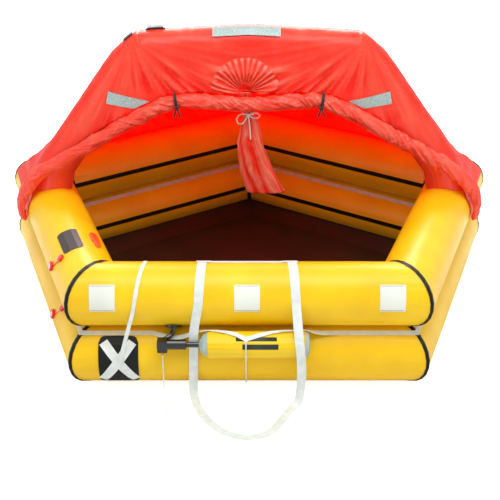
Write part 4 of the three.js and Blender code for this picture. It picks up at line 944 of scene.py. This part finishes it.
def front_patch(name):
    """One pale patch with its two rows of stitches."""
    low, high = node_box(f"front_patch_{name}")
    points, faces = tube_strip(low[0], high[0], UPPER_AXIS, PATCH_LIFT, PATCH_FROM, PATCH_TO,
                               PATCH_THICKNESS)
    patch = mesh_piece(f"sewn_patch_{name}", points, faces, pale_rubber,
                       stands_for=[f"front_patch_{name}"])
    patch.data.set_sharp_from_angle(angle=math.radians(40))
    stitches = []
    for degrees in (PATCH_FROM + 1.6, PATCH_TO - 2.6):
        for x in np.arange(low[0] + 3 * MM, high[0] - STITCH, STITCH_STEP):
            stitches.append(tube_strip(x, x + STITCH, UPPER_AXIS, PATCH_LIFT + PATCH_THICKNESS,
                                       degrees, degrees + STITCH_TURN, STITCH_RISE))
    points, faces = join_shells(*stitches)
    mesh_piece(f"patch_stitches_{name}", points, faces, stitch_grey, smooth=False)


for name in ("left", "middle", "right"):
    front_patch(name)

bottle_low, bottle_high = node_box("gas_cylinder")
cloth_low, cloth_high = node_box("cylinder_sleeve")
BOTTLE_Y = -1183.08 * MM
BOTTLE_Z = (bottle_low[2] + bottle_high[2]) / 2
CLOTH_RADIUS = BOTTLE_Y - cloth_low[1]


def bottle_bar(x_low, x_high, deg_low, deg_high):
    """A thin bar bent round the bottle's cloth, as a closed shell."""
    turns = np.radians(np.linspace(deg_low, deg_high, 8))
    inner, outer = CLOTH_RADIUS + 0.2 * MM, CLOTH_RADIUS + 0.7 * MM
    corners = []
    for x, reach in ((x_low, inner), (x_high, inner), (x_high, outer), (x_low, outer)):
        corners.append(np.stack([0 * turns + x, BOTTLE_Y - reach * np.cos(turns),
                                 BOTTLE_Z + reach * np.sin(turns)], axis=1))
    return tube_mesh(np.stack(corners, axis=1))


points, faces = join_shells(bottle_bar(-0.06, 0.128, 44, 62), bottle_bar(-0.03, 0.135, 8, 30))
mesh_piece("bottle_bars", points, faces, bar_print)

# %% [markdown]
# The canopy was cut as one sheet that is wider than it is deep, with its corners cut away.

# %% [markdown]
# The raft stands on a white floor in an even, bright studio. The floor keeps a faint shadow
# where things touch it. A large soft lamp above and in front draws the highlights along the
# tops of the tubes, and two weaker ones open the shadows from the sides. One more stands
# behind, and shines through the canopy into the cabin. The world is white to the camera and
# in mirrors and clear plastic, and dimmer where it only lights the raft.

# %% Stage
AMBIENT = 0.46
FLOOR_GLOW = 0.8


def white_floor():
    """A matt floor that also glows a little to the camera, so it reads as white paper."""
    material, _ = start_material("studio_floor")
    seen = add_node(material, "ShaderNodeLightPath").outputs["Is Camera Ray"]
    glow = add_node(material, "ShaderNodeEmission", {
        "Color": linear("FFFFFF"), "Strength": FLOOR_GLOW,
    })
    matt = add_node(material, "ShaderNodeBsdfDiffuse", {"Color": linear("F4F4F4")})
    both = add_node(material, "ShaderNodeAddShader", {0: matt.outputs[0], 1: glow.outputs[0]})
    mixed = add_node(material, "ShaderNodeMixShader", {
        0: seen, 1: matt.outputs[0], 2: both.outputs[0],
    })
    return end_material(material, mixed)


floor_mesh = bpy.data.meshes.new("studio_floor")
floor_mesh.from_pydata([(-9, -7, 0), (9, -7, 0), (9, 9, 0), (-9, 9, 0)], [], [(0, 1, 2, 3)])
floor_mesh.materials.append(white_floor())
floor_plane = bpy.data.objects.new("studio_floor", floor_mesh)
bpy.context.scene.collection.objects.link(floor_plane)


def soft_lamp(name, place, aim, size, watts):
    """A rectangular lamp that looks at a point."""
    data = bpy.data.lights.new(name, "AREA")
    data.shape = "RECTANGLE"
    data.size, data.size_y = size
    data.energy = watts
    lamp = bpy.data.objects.new(name, data)
    lamp.location = place
    lamp.rotation_euler = (Vector(aim) - Vector(place)).to_track_quat("-Z", "Y").to_euler()
    bpy.context.scene.collection.objects.link(lamp)
    return lamp


lamps = [
    soft_lamp("lamp_above", (0.2, -2.2, 5.2), (0, 0, 0.5), (4.5, 2.6), 200),
    soft_lamp("lamp_left", (-5.0, -3.6, 2.6), (0, 0, 0.6), (2.4, 2.4), 34),
    soft_lamp("lamp_right", (5.0, -3.6, 2.6), (0, 0, 0.6), (2.4, 2.4), 30),
    soft_lamp("lamp_behind", (0, 3.4, 3.4), (0, 0.5, 0.8), (4.0, 2.0), 330),
]
world = bpy.data.worlds.new("studio")
world.use_nodes = True
world.node_tree.nodes.clear()
rays = add_node(world, "ShaderNodeLightPath").outputs
mirrored = add_node(world, "ShaderNodeMath", {
    0: rays["Is Glossy Ray"], 1: rays["Is Transmission Ray"],
}, operation="MAXIMUM").outputs[0]
seen = add_node(world, "ShaderNodeMath", {
    0: rays["Is Camera Ray"], 1: mirrored,
}, operation="MAXIMUM").outputs[0]
dim = add_node(world, "ShaderNodeBackground", {"Color": linear("FFFFFF"), "Strength": AMBIENT})
white = add_node(world, "ShaderNodeBackground", {"Color": linear("FFFFFF"), "Strength": 1.0})
either = add_node(world, "ShaderNodeMixShader", {0: seen, 1: dim.outputs[0], 2: white.outputs[0]})
add_node(world, "ShaderNodeOutputWorld", {"Surface": either.outputs[0]})
bpy.context.scene.world = world
